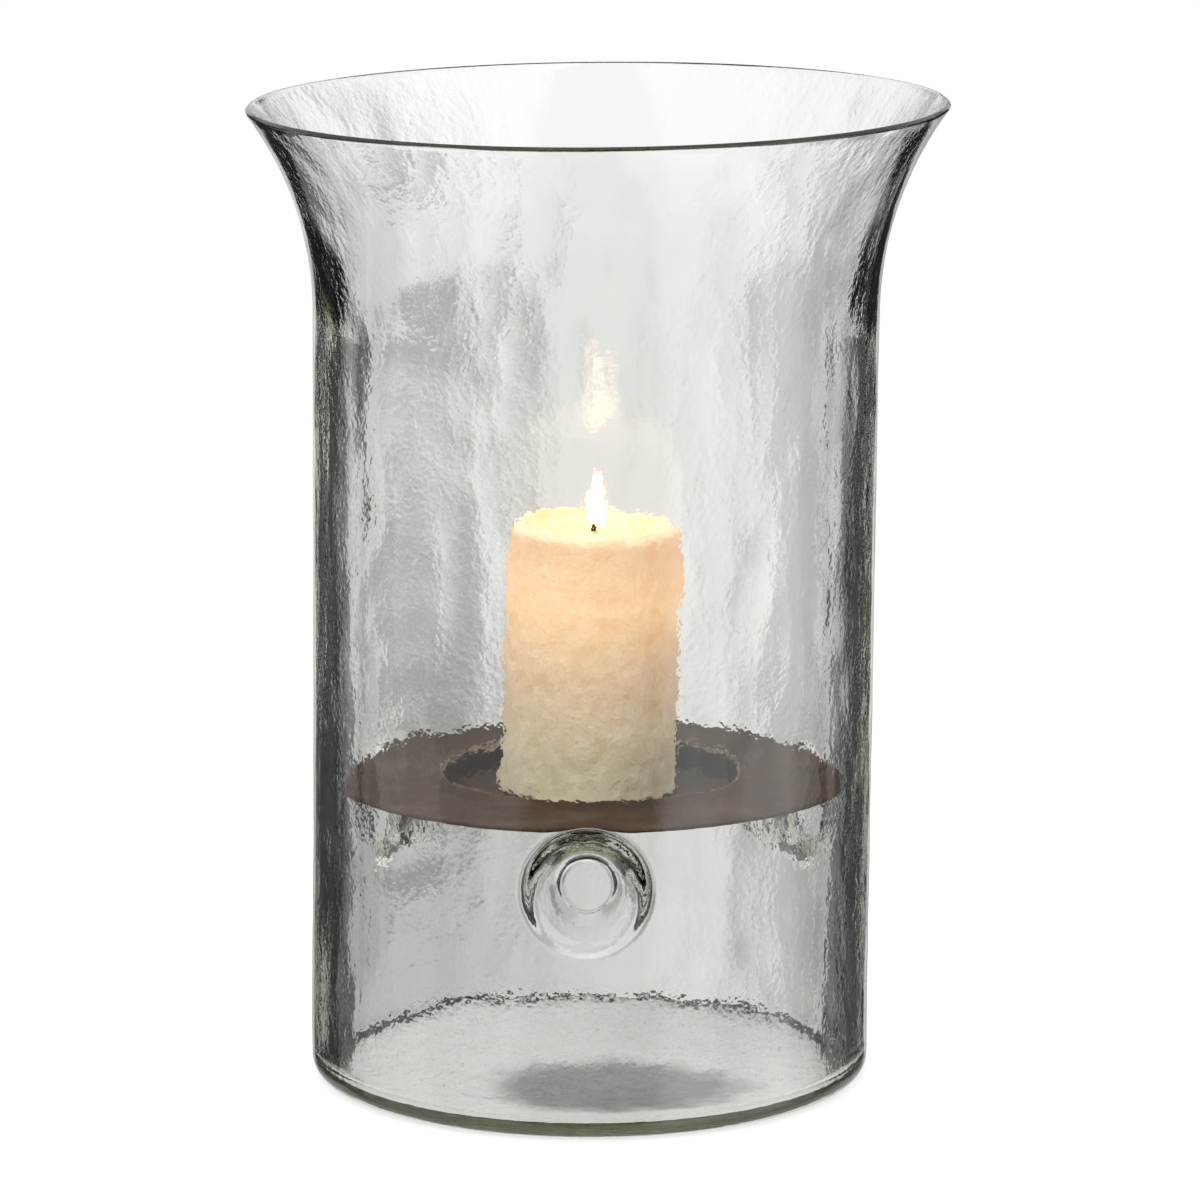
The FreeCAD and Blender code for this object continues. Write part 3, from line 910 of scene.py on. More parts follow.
    def press_lugs(self, points: np.ndarray, inside: bool) -> tuple[np.ndarray, np.ndarray]:
        """Press the lugs into one skin of the wall.

        Args:
            points: Positions of the skin, moved in place.
            inside: Whether this is the skin that faces the candle.

        Returns:
            The points, and how calm the skin is kept: 0 at a lug and 1 away from it.
        """
        lug = self.lug
        tip = self.body_radius - lug.depth
        radius = lug.tip_radius
        blend = lug.mouth_blend
        end_blend = lug.tip_blend
        if inside:
            lean = (lug.mouth_radius - lug.tip_radius) / lug.depth
            tip -= lug.wall
            radius += lug.wall * (math.sqrt(1.0 + lean * lean) - lean)
            blend = lug.root_blend
            end_blend = lug.seat_blend
        calm = np.ones(len(points))
        for bearing in lug.bearings():
            axis = np.array([math.cos(bearing), math.sin(bearing)])
            side = np.array([-axis[1], axis[0]])
            reach = points[:, :2] @ axis
            spread = np.hypot(points[:, :2] @ side, points[:, 2] - lug.height)
            near = (reach > 0.0) & (spread < lug.calm_far)
            cone = lug.flank(spread[near], tip, radius, end_blend)
            pressed = smooth_least(reach[near], cone, blend)
            points[near, :2] += (pressed - reach[near])[:, None] * axis
            calm[near] = np.minimum(calm[near], ease(spread[near], lug.calm_near, lug.calm_far))
        return points, calm

    def roughen(self, points: np.ndarray, calm: np.ndarray, seed: float) -> np.ndarray:
        """Give a skin the waves, streaks and dapples of hand-blown glass.

        Args:
            points: Positions of the skin, moved in place.
            calm: Share of the relief that each point takes.
            seed: Pattern of this skin.

        Returns:
            The points.
        """
        relief = sum(layer.at(points, seed) for layer in self.layers)
        outward = points[:, :2] / np.linalg.norm(points[:, :2], axis=1)[:, None]
        points[:, :2] += (relief * calm)[:, None] * outward
        return points

    def settle(self, rings: np.ndarray) -> np.ndarray:
        """Lean the vessel and tilt its rim a little, as it came off the pipe.

        Args:
            rings: Positions of the vessel, moved in place.

        Returns:
            The positions.
        """
        rings[:, :, 0] += self.lean * (rings[:, :, 2] - self.lug.height)
        lift = ease(rings[:, :, 2], self.flare_start, self.height)
        rings[:, :, 2] += self.rim_tilt * rings[:, :, 0] * lift
        return rings

    def build(self) -> bpy.types.Object:
        """Make the vessel's mesh.

        Returns:
            The vessel.
        """
        section, faces = self.section()
        rings = lathe_points(section, self.angles())
        columns = rings.shape[1]
        seeds = {Face.OUTSIDE: self.outside_seed, Face.INSIDE: self.inside_seed}
        brink = self.height - self.lip_zone * self.lip_thickness
        for face, seed in seeds.items():
            rows = faces == face.value
            points = rings[rows].reshape(-1, 3)
            heights = points[:, 2].copy()
            points, calm = self.press_lugs(points, face is Face.INSIDE)
            calm *= ease(heights, self.base_corner, self.heel_zone * self.base_corner)
            calm *= 1.0 - self.lip_calm * ease(heights, brink, self.height)
            rings[rows] = self.roughen(points, calm, seed).reshape(-1, columns, 3)
        rings = self.settle(rings)
        middle = -self.lean * self.lug.height
        return skin(
            "glass_vessel", rings, first=(middle, 0.0, 0.0), last=(middle, 0.0, self.base_thickness)
        )

    def assemble(self) -> None:
        """Build and dress the vessel."""
        glass = self.build()
        glass.visible_shadow = False
        dress(glass, ClearGlass().material(), Body.VESSEL)
        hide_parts("glass_hurricane")


@dataclass
class CandlePlate:
    """The loose sheet-metal plate with its pressed well."""

    sheet: float = 1.5 * MM
    radius: float = 102.0 * MM
    seat: float = 123.38 * MM
    well_radius: float = 60.0 * MM
    well_floor_radius: float = 55.0 * MM
    well_depth: float = 6.5 * MM
    bend: float = 1.8 * MM
    bend_rows: int = 4
    brow_rise: float = 2.2 * MM
    brow_radius: float = 61.5 * MM
    brow_end: float = 70.0 * MM
    columns: int = 260
    step: float = 3.0 * MM
    buckle: Relief = Relief(0.35 * MM, 44.0 * MM, 1.0, 5.5)
    buckle_from: float = 36.0 * MM
    nibble: Relief = Relief(0.30 * MM, 9.0 * MM, 1.0, 9.1)
    nibble_width: float = 4.0 * MM
    edge_round: float = 0.3

    def top_heights(self, radii: np.ndarray) -> np.ndarray:
        """Height of the sheet's upper face at each distance from the axis.

        Args:
            radii: Distances from the axis.

        Returns:
            One height for each distance.
        """
        slope = self.well_depth / (self.well_radius - self.well_floor_radius)
        level = np.full_like(radii, self.seat + self.sheet)
        floor = level - self.well_depth
        flat = level + self.brow_rise * (1.0 - ease(radii, self.brow_radius, self.brow_end))
        wall = floor + slope * (radii - self.well_floor_radius)
        return smooth_most(smooth_least(flat, wall, self.bend), floor, self.bend)

    def build(self) -> bpy.types.Object:
        """Make the plate's mesh.

        Returns:
            The plate.
        """
        fine = self.bend / self.bend_rows
        low = self.well_floor_radius - self.bend
        high = self.brow_end
        radii = np.concatenate(
            [
                np.arange(self.step, low, self.step),
                np.arange(low, high, fine),
                np.arange(high, self.radius - fine, self.step),
                [self.radius - self.edge_round * self.sheet],
            ]
        )
        upper = np.column_stack((radii, self.top_heights(radii)))
        slope = np.gradient(upper[:, 1], upper[:, 0])
        lower = upper - np.column_stack((-slope, np.ones_like(slope))) * (
            self.sheet / np.sqrt(1.0 + slope * slope)
        )[:, None]
        heights = self.seat + self.sheet * np.array([self.edge_round, 1.0 - self.edge_round])
        edge = np.column_stack((np.full(2, self.radius), heights))
        section = np.concatenate((lower, edge, upper[::-1]))
        rings = lathe_points(section, round_angles(self.columns))
        flat = rings.reshape(-1, 3)
        level = flat * LEVEL
        reach = np.linalg.norm(level, axis=1)
        flat[:, 2] += self.buckle.at(level) * ease(reach, self.buckle_from, self.radius)
        rim = ease(reach, self.radius - self.nibble_width, self.radius)
        outward = level / np.maximum(reach, MM)[:, None]
        flat += (rim * self.nibble.at(level))[:, None] * outward
        rings = flat.reshape(rings.shape)
        floor = self.seat + self.sheet - self.well_depth
        return skin("plate", rings, first=(0.0, 0.0, floor - self.sheet), last=(0.0, 0.0, floor))

    def assemble(self) -> None:
        """Build and dress the plate."""
        plate = self.build()
        dress(plate, PlatePatina().material(), Body.PLATE)
        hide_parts("candle_plate")


@dataclass
class PillarCandle:
    """The rustic pillar with its melted bowl, wick, tab and flame."""

    radius: float = 36.0 * MM
    foot: float = 118.38 * MM
    height: float = 112.0 * MM
    foot_round: float = 2.5 * MM
    rim_round: float = 4.5 * MM
    bowl_radius: float = 29.0 * MM
    pool_radius: float = 21.0 * MM
    pool_depth: float = 6.0 * MM
    recess_radius: float = 10.1 * MM
    recess_depth: float = 0.9 * MM
    columns: int = 300
    step: float = 1.1 * MM
    foot_rows: int = 6
    rim_rows: int = 8
    bowl_rows: int = 9
    lean: float = 0.016
    belly: float = 0.7 * MM
    belly_share: float = 0.6
    lump: Relief = Relief(0.9 * MM, 24.0 * MM, 30.0 * MM, 2.7)
    chip: Relief = Relief(0.65 * MM, 5.0 * MM, 6.0 * MM, 11.3)
    crumb: Relief = Relief(0.16 * MM, 2.8 * MM, 3.4 * MM, 17.1)
    foot_calm: float = 0.03
    brim_from: float = 0.9
    brim: Relief = Relief(0.45, 14.0 * MM, 1.0, 21.9)
    rim_drop: float = 1.6 * MM
    bore: float = 2.0 * MM
    recess_bore: float = 3.0 * MM
    film: float = 0.35 * MM
    film_edge: float = 2.2 * MM
    film_rows: int = 16
    film_columns: int = 96
    climb: float = 0.5 * MM
    climb_width: float = 1.2 * MM
    wick_radius: float = 1.2 * MM
    wick_rise: float = 5.0 * MM
    wick_bend: float = 6.0 * MM
    wick_turn: float = math.radians(40.0)
    wick_foot: float = 0.3 * MM
    strands: int = 3
    strand_lay: float = 9.0 * MM
    strand_share: float = 0.54
    strand_rows: int = 240
    strand_sides: int = 10
    flame_foot: float = 3.6 * MM
    flame_height: float = 22.5 * MM
    flame_radius: float = 4.4 * MM
    flame_rows: int = 42
    flame_columns: int = 40
    flame_root: float = 0.45
    flame_taper: float = 1.15
    flame_sink: float = 0.2
    flame_sway: float = 0.6 * MM
    flame_tones: Stops = ((0.0, (1.0, 0.62, 0.26)), (0.35, (1.0, 0.80, 0.46)), (1.0, (1.0, 0.66, 0.28)))
    flame_strength: float = 10.0
    mantle_swell: float = 1.55
    mantle_stretch: float = 1.12
    mantle_tones: Stops = ((0.0, (1.0, 0.72, 0.40)), (0.35, (1.0, 0.80, 0.50)), (1.0, (1.0, 0.70, 0.40)))
    mantle_strength: float = 1.3
    mantle_cover: float = 0.20

    def crown(self) -> float:
        """Height of the candle's rim."""
        return self.foot + self.height

    def pool(self) -> float:
        """Height of the liquid wax."""
        return self.crown() - self.pool_depth

    def wax_section(self) -> np.ndarray:
        """The candle's section, from the tab's recess round to the middle of the bowl.

        Returns:
            Rows of distance from the axis and height.
        """
        quarter = math.pi / 2.0
        top = self.crown()
        foot = self.foot
        side = self.radius
        width = self.bowl_radius - self.pool_radius
        sweep = (width**2 + self.pool_depth**2) / (2.0 * self.pool_depth)
        climb = math.asin(min(1.0, width / sweep))
        recess = foot + self.recess_depth
        heel = self.foot_round
        brow = self.rim_round
        pool = self.pool()
        hub = (self.pool_radius, pool + sweep)
        bowl = arc_points(hub, sweep, climb - quarter, -quarter, self.bowl_rows)
        stretches = [
            line_points((self.recess_bore, recess), (self.recess_radius, recess), self.step),
            line_points((self.recess_radius, foot), (side - heel, foot), self.step)[:-1],
            arc_points((side - heel, foot + heel), heel, -quarter, 0.0, self.foot_rows)[:-1],
            line_points((side, foot + heel), (side, top - brow), self.step)[:-1],
            arc_points((side - brow, top - brow), brow, 0.0, quarter, self.rim_rows),
            bowl[:-1],
            line_points((self.pool_radius, pool), (self.bore, pool), self.step),
        ]
        return np.concatenate(stretches)

    def build_wax(self) -> bpy.types.Object:
        """Make the wax: a turned pillar with lumps, chips, a lean and an uneven rim.

        Returns:
            The pillar.
        """
        rings = lathe_points(self.wax_section(), round_angles(self.columns))
        points = rings.reshape(-1, 3)
        reach = np.hypot(points[:, 0], points[:, 1])
        up = (points[:, 2] - self.foot) / self.height
        outward = points * LEVEL / np.maximum(reach, MM)[:, None]
        side = ease(reach, self.pool_radius, self.radius) * ease(up, 0.0, self.foot_calm)
        relief = self.belly * (np.sin(math.pi * np.clip(up, 0.0, 1.0)) - self.belly_share)
        relief += self.lump.at(points) + np.minimum(0.0, self.chip.at(points)) + self.crumb.at(points)
        points += (side * relief)[:, None] * outward
        brim = ease(up, self.brim_from, 1.0) * ease(reach, self.pool_radius, self.bowl_radius)
        bearing = np.arctan2(points[:, 1], points[:, 0])
        uneven = self.brim.at(points) - 0.5 * (1.0 + np.cos(bearing))
        points[:, 2] += self.rim_drop * brim * uneven
        middle = 0.5 * self.lean * self.height
        points[:, 0] += self.lean * (points[:, 2] - self.foot) - middle
        return skin(
            "pillar",
            points.reshape(rings.shape),
            first=(-middle, 0.0, self.foot + self.recess_depth),
            last=(middle, 0.0, self.pool()),
        )

    def build_pool(self) -> bpy.types.Object:
        """Make the liquid wax: a shallow lens that climbs the bowl and the wick.

        Returns:
            The liquid wax.
        """
        edge = self.pool_radius + self.film_edge
        radii = np.concatenate(([self.wick_radius], np.linspace(self.bore, edge, self.film_rows)))
        climb = self.climb * np.exp(-(radii - self.wick_radius) / self.climb_width)
        upper = np.column_stack((radii, self.pool() + self.film + climb))
        lower = np.column_stack((radii, np.full_like(radii, self.pool() - self.film)))
        section = np.concatenate((lower, upper[::-1]))
        rings = lathe_points(section, round_angles(self.film_columns))
        rings[:, :, 0] += 0.5 * self.lean * self.height
        rings = np.concatenate((rings, rings[:1]))
        return skin("melt_pool", rings)

    def wick_path(self, count: int) -> np.ndarray:
        """Points along the wick's middle line, from its foot to its bent tip.

        Args:
            count: How many points.

        Returns:
            One position for each point.
        """
        low = self.foot + self.wick_foot
        high = self.pool() + self.wick_rise
        curl = self.wick_bend * self.wick_turn
        run = np.linspace(0.0, high - low + curl, count)
        turn = np.maximum(0.0, run - (high - low)) / self.wick_bend
        across = self.wick_bend * (1.0 - np.cos(turn))
        rise = low + np.minimum(run, high - low) + self.wick_bend * np.sin(turn)
        return np.column_stack((across, np.zeros_like(run), rise))

    def build_wick(self) -> bpy.types.Object:
        """Make the wick from twisted strands.

        Returns:
            The wick.
        """
        rows = self.strand_rows
        sides = self.strand_sides
        path = self.wick_path(rows)
        heading = np.gradient(path, axis=0)
        heading /= np.linalg.norm(heading, axis=1)[:, None]
        across = np.array([0.0, 1.0, 0.0])
        normal = np.cross(across, heading)
        strand = self.strand_share * self.wick_radius
        orbit = self.wick_radius - strand
        run = np.concatenate(([0.0], np.cumsum(np.linalg.norm(np.diff(path, axis=0), axis=1))))
        points = []
        faces = []
        circle = round_angles(sides)[None, :, None]
        offsets = strand * (np.cos(circle) * normal[:, None] + np.sin(circle) * across)
        for number in range(self.strands):
            turn = FULL_TURN * (run / self.strand_lay + number / self.strands)
            centre = path + orbit * (np.cos(turn)[:, None] * normal + np.sin(turn)[:, None] * across)
            start = len(points)
            points.extend((centre[:, None] + offsets).reshape(-1, 3).tolist())
            faces.extend(tube_faces(rows, sides, start))
            faces.append(tuple(reversed(range(start, start + sides))))
            faces.append(tuple(range(len(points) - sides, len(points))))
        return make_object("wick", points, faces)

    def build_flame(self, name: str, swell: float, stretch: float) -> bpy.types.Object:
        """Make a flame's teardrop round the top of the wick.

        Args:
            name: Name of the piece.
            swell: Width as a share of the flame's own.
            stretch: Height as a share of the flame's own.

        Returns:
            The flame.
        """
        share = np.linspace(0.0, 1.0, self.flame_rows)[1:-1]
        bulge = share**self.flame_root * (1.0 - share) ** self.flame_taper
        radii = swell * self.flame_radius * bulge / bulge.max()
        tall = stretch * self.flame_height
        base = self.pool() + self.flame_foot - self.flame_sink * (stretch - 1.0) * self.flame_height
        section = np.column_stack((radii, base + share * tall))
        rings = lathe_points(section, round_angles(self.flame_columns))
        sway = self.flame_sway * np.sin(math.pi * share)
        shift = 0.5 * self.wick_bend * (1.0 - math.cos(self.wick_turn))
        rings[:, :, 0] += sway[:, None] + shift
        return skin(name, rings, first=(shift, 0.0, base), last=(shift, 0.0, base + tall))

    def assemble(self) -> None:
        """Build and dress the candle."""
        wax = self.build_wax()
        dress(wax, IvoryWax().material(), Body.CANDLE)
        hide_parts("pillar_candle")
        dress(self.build_pool(), MoltenWax().material(), Body.CANDLE)
        wick = self.build_wick()
        dress(wick, CharredCotton().material(), Body.CANDLE)
        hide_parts("candle_wick")
        low = self.pool() + self.flame_foot
        high = low + self.flame_height
        core = FlameLight("flame_light", self.flame_tones, self.flame_strength, low, high)
        glow = self.mantle_strength
        veil = FlameLight("flame_veil", self.mantle_tones, glow, low, high, self.mantle_cover)
        dress(self.build_flame("flame", 1.0, 1.0), core.material(), Body.CANDLE)
        mantle = self.build_flame("flame_mantle", self.mantle_swell, self.mantle_stretch)
        mantle.visible_shadow = False
        dress(mantle, veil.material(), Body.CANDLE)
        tab = bpy.data.objects["wick_sustainer"]
        tab.data.materials.clear()
        tab.data.materials.append(TinPlate().material())
        LOG.info("%s keeps its packed mesh of %d faces", tab.name, len(tab.data.polygons))


@dataclass(frozen=True)
class Lamp:
    """A soft square lamp that faces the middle of the vessel and isn't seen in shiny surfaces."""

    name: str
    place: Colour
    size: float
    level: float
    aim: Colour = (0.0, 0.0, 0.2)

    def build(self) -> None:
        """Hang the lamp, with power in step with its face."""
        lamp = bpy.data.lights.new(self.name, "AREA")
        lamp.shape = "RECTANGLE"
        lamp.size = self.size
        lamp.size_y = self.size
        lamp.energy = math.pi * self.size**2 * self.level
        holder = bpy.data.objects.new(self.name, lamp)
        holder.location = self.place
        toward = Vector(self.aim) - Vector(self.place)
        holder.rotation_euler = toward.to_track_quat("-Z", "Y").to_euler()
        holder.visible_glossy = False
        holder.visible_transmission = False
        bpy.context.scene.collection.objects.link(holder)


@dataclass
class Studio:
    """Pale floor, soft lamps, a bright field with dark flags, and the camera."""

    camera_distance: float = 2.600
    camera_height: float = 0.720
    camera_aside: float = 3.5 * MM
    camera_pitch: float = 0.1988
    camera_reach: float = 100.0
    lens_pixels: float = 6500.0
    frame_pixels: float = 1200.0
    sensor_mm: float = 36.0
    bounces: int = 32
    clear_bounces: int = 20
    lamps: tuple[Lamp, ...] = (
        Lamp("key_lamp", (-1.4, -1.7, 1.7), 1.2, 8.9),
        Lamp("fill_lamp", (1.5, -1.5, 1.2), 1.0, 4.0),
        Lamp("top_lamp", (0.0, 0.30, 2.2), 1.0, 4.9),
    )
    white: Colour = (1.0, 1.0, 1.0)
    # The spans of the floor are distances over which one tone passes into another.
    floor_half: float = 12.0
    floor_drop: float = 0.3 * MM
    floor_colour: Colour = (0.80, 0.80, 0.80)
    floor_lift: float = 0.22
    floor_white: Span = (0.40, 0.80)
    footprint: Span = (0.112, 0.128)
    # Painted light: extra glow on the floor under the vessel, outside the painted shadow, seen only
    # through the glass.
    painted_under_light: float = 0.17
    # Painted shadow: a ragged dark patch on the floor under the vessel, seen only through the glass.
    painted_shadow: Span = (0.036, 0.062)
    painted_shadow_colour: Colour = (0.05, 0.05, 0.042)
    painted_shadow_place: Colour = (-10.0 * MM, 42.0 * MM, 0.0)
    painted_shadow_squash: Colour = (1.0, 1.25, 1.0)
    painted_shadow_grain: float = 0.016
    painted_shadow_ragged: float = 0.026
    # Painted shade: the floor behind the vessel dims what rays through the glass and reflections see, more
    # on the left.
    painted_shade_right: float = 0.83
    painted_shade_left: float = 0.66
    painted_shade_side: Span = (-0.03, 0.05)
    painted_shade_reach: Span = (0.42, 0.90)
    # Below, a span is where a share rises from 0 to 1: angles round the object, or the part of a
    # direction that points up or down.
    mottle_size: float = 0.0022
    mottle_share: float = 0.26
    lobes: int = 8
    lobe_edge: Span = degrees(16.0, 19.5)
    odd_edge: Span = (-0.4, 0.4)
    odd_narrow: float = 1.45
    odd_bright: float = 0.95
    odd_dark: float = 0.08
    odd_bearing: float = math.radians(135.0)
    odd_turn: Span = (0.2, 0.9)
    odd_drop: Span = (0.29, 0.36)
    flag_dark: float = 0.05
    front: Span = degrees(153.0, 157.0)
    front_up: Span = (0.0, 0.10)
    side: Span = degrees(80.0, 105.0)
    side_drop: Span = (0.42, 0.52)
    dim_share: float = 0.40
    dim_rise: Span = degrees(0.3, 5.0)
    dim_ebb: Span = degrees(8.5, 11.5)
    dim_drop: Span = (0.125, 0.215)
    dim_end: Span = (0.222, 0.242)
    aside_share: float = 0.14
    aside: Span = degrees(0.5, 5.0)
    right_share: float = 0.28
    right_rise: Span = degrees(3.5, 7.0)
    right_ebb: Span = degrees(11.5, 14.0)
    steep: Span = (0.55, 0.85)
    steep_level: float = 0.75
    ceiling: Span = (0.14, 0.36)
    ceiling_level: float = 0.82
    mirror: Span = degrees(84.0, 92.0)
    mirror_level: float = 1.30
    mirror_lean: float = 0.60
    shade: Span = degrees(147.0, 158.0)
    shade_level: float = 0.05
    panel_bearing: float = math.radians(64.0)
    panel_miss: Span = degrees(1.4, 7.0)
    panel_high: Span = (0.275, 0.55)
    panel_low: Span = (-0.35, -0.10)
    panel_level: float = 1.6

    def band(self, graph: Graph, value: object, rise: Span, ebb: Span) -> Socket:
        """A share that rises over one span and ebbs away over another."""
        return graph.minus(graph.rise(value, *rise), graph.rise(value, *ebb))

    def odd_level(self, graph: Graph, bearing: object, drop: object) -> Socket:
        """Brightness of every second lobe: by its bearing when level, bright when well below.

        Args:
            graph: The tree to add to.
            bearing: The bearing looked along.
            drop: How far down the direction points.

        Returns:
            The brightness.
        """
        facing = graph.math("COSINE", graph.minus(bearing, self.odd_bearing))
        level = graph.fade(graph.rise(facing, *self.odd_turn), self.odd_dark, self.odd_bright)
        return graph.math("MAXIMUM", level, graph.rise(drop, *self.odd_drop))

    def unevenness(self, graph: Graph, offset: object, drop: object) -> Socket:
        """Share of brightness that a lobe loses away from its middle.

        Args:
            graph: The tree to add to.
            offset: Bearing from the middle of the lobe.
            drop: How far down the direction points.

        Returns:
            The share lost.
        """
        leftward = self.band(graph, graph.times(offset, -1.0), self.dim_rise, self.dim_ebb)
        below = graph.times(leftward, graph.rise(drop, *self.dim_drop))
        dim = graph.times(graph.times(below, self.dim_share), graph.rest(graph.rise(drop, *self.dim_end)))
        aside = graph.rise(graph.math("ABSOLUTE", offset), *self.aside)
        rightward = self.band(graph, offset, self.right_rise, self.right_ebb)
        uneven = graph.plus(graph.times(aside, self.aside_share), graph.times(rightward, self.right_share))
        return graph.plus(dim, uneven)

    def bright_field(self, graph: Graph, direction: object) -> Socket:
        """Brightness of the studio by direction: bright lobes with dark flags between them.

        Args:
            graph: The tree to add to.
            direction: The direction looked along.

        Returns:
            The brightness.
        """
        split = graph.axes(direction)
        drop = graph.times(split["Z"], -1.0)
        bearing = graph.math("ARCTAN2", split["X"], split["Y"])
        pitch = FULL_TURN / self.lobes
        turns = graph.plus(graph.math("DIVIDE", bearing, pitch), 0.5)
        offset = graph.times(graph.minus(graph.math("FRACT", turns), 0.5), pitch)
        wave = graph.math("COSINE", graph.times(bearing, self.lobes / 2.0))
        odd = graph.rest(graph.rise(wave, *self.odd_edge))
        narrow = graph.plus(1.0, graph.times(odd, self.odd_narrow - 1.0))
        flag = graph.rise(graph.times(graph.math("ABSOLUTE", offset), narrow), *self.lobe_edge)
        level = graph.rest(graph.times(odd, graph.rest(self.odd_level(graph, bearing, drop))))
        bright = graph.times(level, graph.rest(self.unevenness(graph, offset, drop)))
        bright = graph.fade(flag, bright, self.flag_dark)
        mottle = graph.minus(graph.speckle(direction, self.mottle_size), 0.5)
        bright = graph.times(bright, graph.plus(1.0, graph.times(mottle, self.mottle_share)))
        bright = graph.fade(graph.rise(drop, *self.steep), bright, self.steep_level)
        return graph.fade(graph.rise(split["Z"], *self.ceiling), bright, self.ceiling_level)

    def mirror_field(self, graph: Graph, direction: object, behind: object) -> Socket:
        """Brightness of what shiny surfaces show: soft panels at the sides and a dark front.

        Args:
            graph: The tree to add to.
            direction: The direction looked along.
            behind: Brightness of the field behind the object.

        Returns:
            The brightness.
        """
        split = graph.axes(direction)
        bearing = graph.math("ABSOLUTE", graph.math("ARCTAN2", split["X"], split["Y"]))
        lit = graph.plus(self.mirror_level, graph.times(split["X"], self.mirror_lean))
        forward = graph.fade(graph.rise(bearing, *self.shade), lit, self.shade_level)
        level = graph.fade(graph.rise(bearing, *self.mirror), behind, forward)
        miss = graph.math("ABSOLUTE", graph.minus(bearing, self.panel_bearing))
        panel = graph.rest(graph.rise(miss, *self.panel_miss))
        upper = graph.rest(graph.rise(split["Z"], *self.panel_high))
        share = graph.times(panel, graph.times(upper, graph.rise(split["Z"], *self.panel_low)))
        return graph.plus(level, graph.times(share, self.panel_level))

    def dark_front(self, graph: Graph, direction: object) -> Socket:
        """Share of the dark room on the viewer's side, as rays bent back by the glass see it.

        Args:
            graph: The tree to add to.
            direction: The direction looked along.

        Returns:
            1 where the room is dark and 0 where the bright field shows.
        """
        split = graph.axes(direction)
        bearing = graph.math("ABSOLUTE", graph.math("ARCTAN2", split["X"], split["Y"]))
        level = graph.rest(graph.rise(split["Z"], *self.front_up))
        straight = graph.times(graph.rise(bearing, *self.front), level)
        below = graph.rise(graph.times(split["Z"], -1.0), *self.side_drop)
        return graph.math("MAXIMUM", straight, graph.times(graph.rise(bearing, *self.side), below))

    def build_world(self) -> None:
        """White for the camera; the bright field for glass, metal and light."""
        world = bpy.data.worlds.new("studio")
        bpy.context.scene.world = world
        world.use_nodes = True
        graph = Graph(world.node_tree)
        output = graph.node("ShaderNodeOutputWorld")
        direction = graph.node("ShaderNodeTexCoord").outputs["Generated"]
        behind = self.bright_field(graph, direction)
        path = graph.node("ShaderNodeLightPath").outputs
        bent = path["Is Transmission Ray"]
        bounced = graph.math("MAXIMUM", graph.minus(path["Is Glossy Ray"], bent), 0.0)
        level = graph.fade(bounced, behind, self.mirror_field(graph, direction, behind))
        level = graph.fade(graph.times(bent, self.dark_front(graph, direction)), level, self.flag_dark)
        seen = graph.node("ShaderNodeBackground", {"Color": self.white, "Strength": 1.0})
        lit = graph.node("ShaderNodeBackground", {"Color": self.white, "Strength": level})
        graph.put(output.inputs["Surface"], graph.blend(path["Is Camera Ray"], lit, seen).outputs[0])

    def outside_painted_shadow(self, graph: Graph, place: object) -> Socket:
        """Share of the floor outside the ragged painted shadow under the vessel.

        Args:
            graph: The tree to add to.
            place: The position on the floor.

        Returns:
            0 in the patch and 1 outside it.
        """
        moved = graph.node("ShaderNodeVectorMath", {0: place, 1: self.painted_shadow_place}, operation="ADD")
        apart = graph.length(graph.stretch(moved.outputs[0], self.painted_shadow_squash))
        ragged = graph.minus(graph.speckle(place, self.painted_shadow_grain), 0.5)
        return graph.rise(graph.plus(apart, graph.times(ragged, self.painted_shadow_ragged)), *self.painted_shadow)

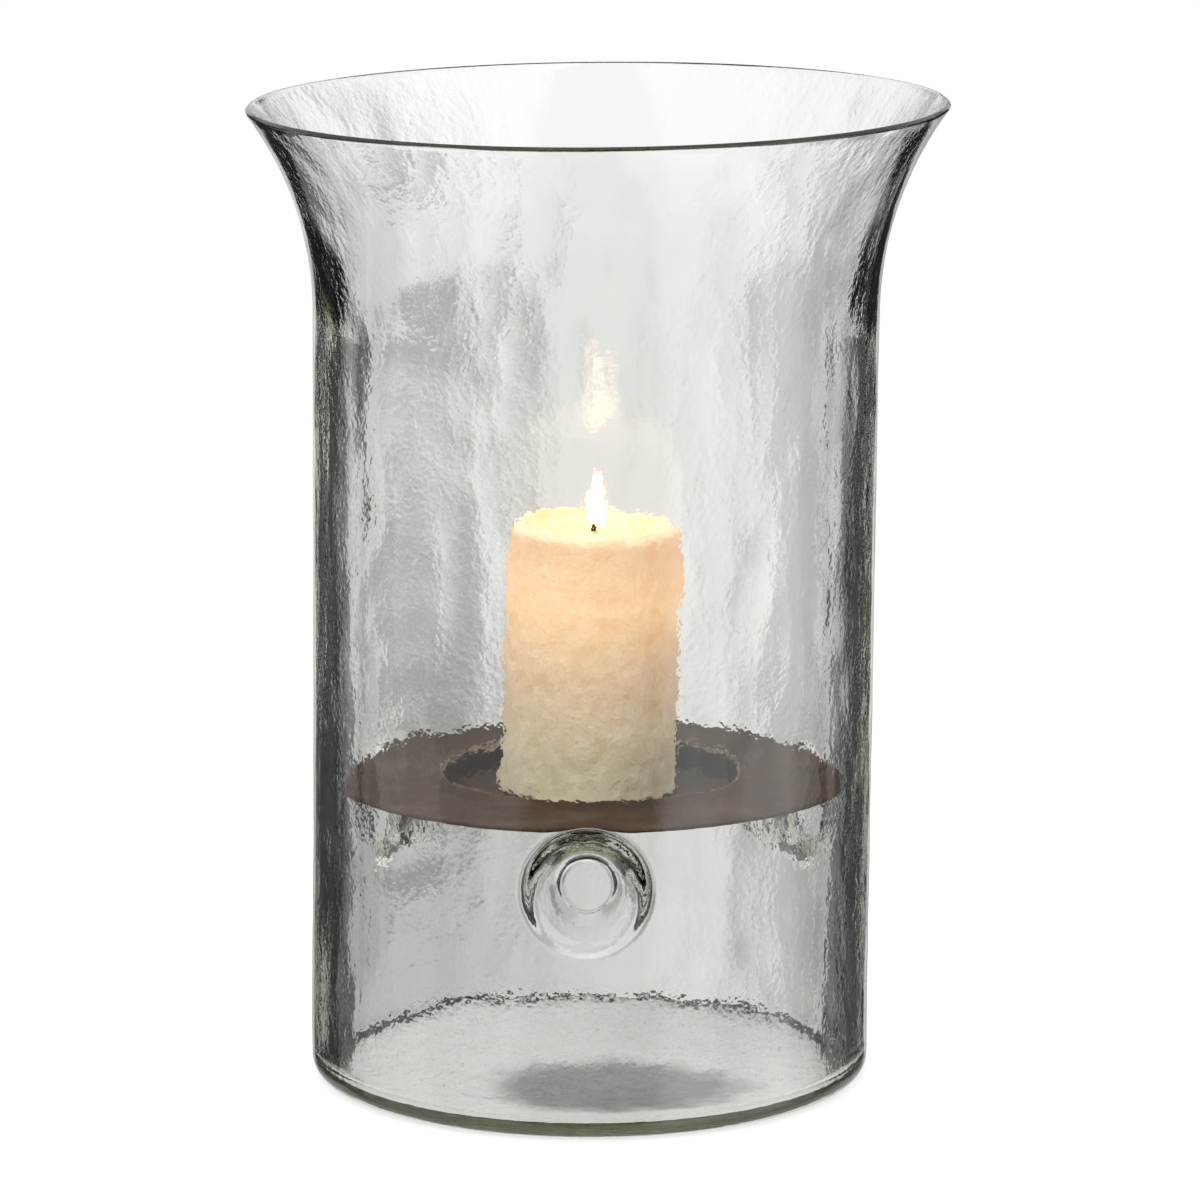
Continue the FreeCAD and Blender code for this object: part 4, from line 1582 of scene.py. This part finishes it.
    def build_floor(self) -> None:
        """A pale floor that keeps the shadow near the vessel and shows the bright field far behind it;
        through the glass it also shows a painted shadow and painted light under the vessel and painted
        shade behind it.
        """
        half = self.floor_half
        corners = [(-half, -half), (half, -half), (half, half), (-half, half)]
        floor = make_object("floor", [(x, y, -self.floor_drop) for x, y in corners], [(0, 1, 2, 3)])
        made, graph, output = new_material("pale_floor")
        place = graph.node("ShaderNodeNewGeometry").outputs["Position"]
        reach = graph.length(place)
        path = graph.node("ShaderNodeLightPath").outputs
        bent = path["Is Transmission Ray"]
        direct = path["Is Camera Ray"]
        outside_painted_shadow = self.outside_painted_shadow(graph, place)
        # Painted shadow: the floor under the vessel turns dark for rays through the glass.
        painted_shadow = graph.times(bent, graph.rest(outside_painted_shadow))
        colour = graph.mix(painted_shadow, self.floor_colour, self.painted_shadow_colour)
        plain = graph.node("ShaderNodeBsdfDiffuse", {"Color": colour})
        # Painted light on the floor under the vessel, seen only through the glass.
        under = graph.times(bent, graph.times(outside_painted_shadow, self.painted_under_light))
        lift = graph.plus(graph.times(direct, self.floor_lift), under)
        glow = graph.node("ShaderNodeEmission", {"Strength": lift})
        near = graph.node("ShaderNodeAddShader", {0: plain.outputs[0], 1: glow.outputs[0]})
        # Painted shade behind the vessel, darker on the left, fading out far away.
        left = graph.rise(graph.times(graph.axes(place)["X"], -1.0), *self.painted_shade_side)
        painted_shade_tone = graph.fade(left, self.painted_shade_right, self.painted_shade_left)
        painted_shade_tone = graph.fade(graph.rise(reach, *self.painted_shade_reach), painted_shade_tone, 1.0)
        far = graph.node("ShaderNodeBsdfTransparent", {"Color": painted_shade_tone})
        white = graph.node("ShaderNodeEmission", {"Strength": 1.0})
        bent_or_bounced = graph.math("MAXIMUM", bent, path["Is Glossy Ray"])
        through = graph.times(graph.rise(reach, *self.footprint), bent_or_bounced)
        seen = graph.blend(through, near, far)
        both = graph.blend(graph.times(graph.rise(reach, *self.floor_white), direct), seen, white)
        graph.put(output.inputs["Surface"], both.outputs[0])
        floor.data.materials.append(made)

    def build_camera(self) -> None:
        """Set the camera where the photograph was taken from."""
        eye = bpy.data.cameras.new("camera")
        eye.sensor_width = self.sensor_mm
        eye.lens = self.lens_pixels * self.sensor_mm / self.frame_pixels
        eye.clip_end = self.camera_reach
        holder = bpy.data.objects.new("camera", eye)
        holder.location = (self.camera_aside, -self.camera_distance, self.camera_height)
        holder.rotation_euler = (math.pi / 2.0 - self.camera_pitch, 0.0, 0.0)
        bpy.context.scene.collection.objects.link(holder)
        bpy.context.scene.camera = holder

    def assemble(self) -> None:
        """Set up everything round the object."""
        scene = bpy.context.scene
        scene.view_settings.view_transform = "Standard"
        scene.cycles.use_denoising = True
        scene.cycles.max_bounces = self.bounces
        scene.cycles.transmission_bounces = self.clear_bounces
        scene.cycles.glossy_bounces = self.clear_bounces
        self.build_world()
        self.build_floor()
        for lamp in self.lamps:
            lamp.build()
        self.build_camera()


def main() -> None:
    """Build the lantern and its studio."""
    logging.basicConfig(level=logging.INFO, format="%(name)s: %(message)s")
    GlassVessel().assemble()
    CandlePlate().assemble()
    PillarCandle().assemble()
    Studio().assemble()


if __name__ == "__main__":
    main()
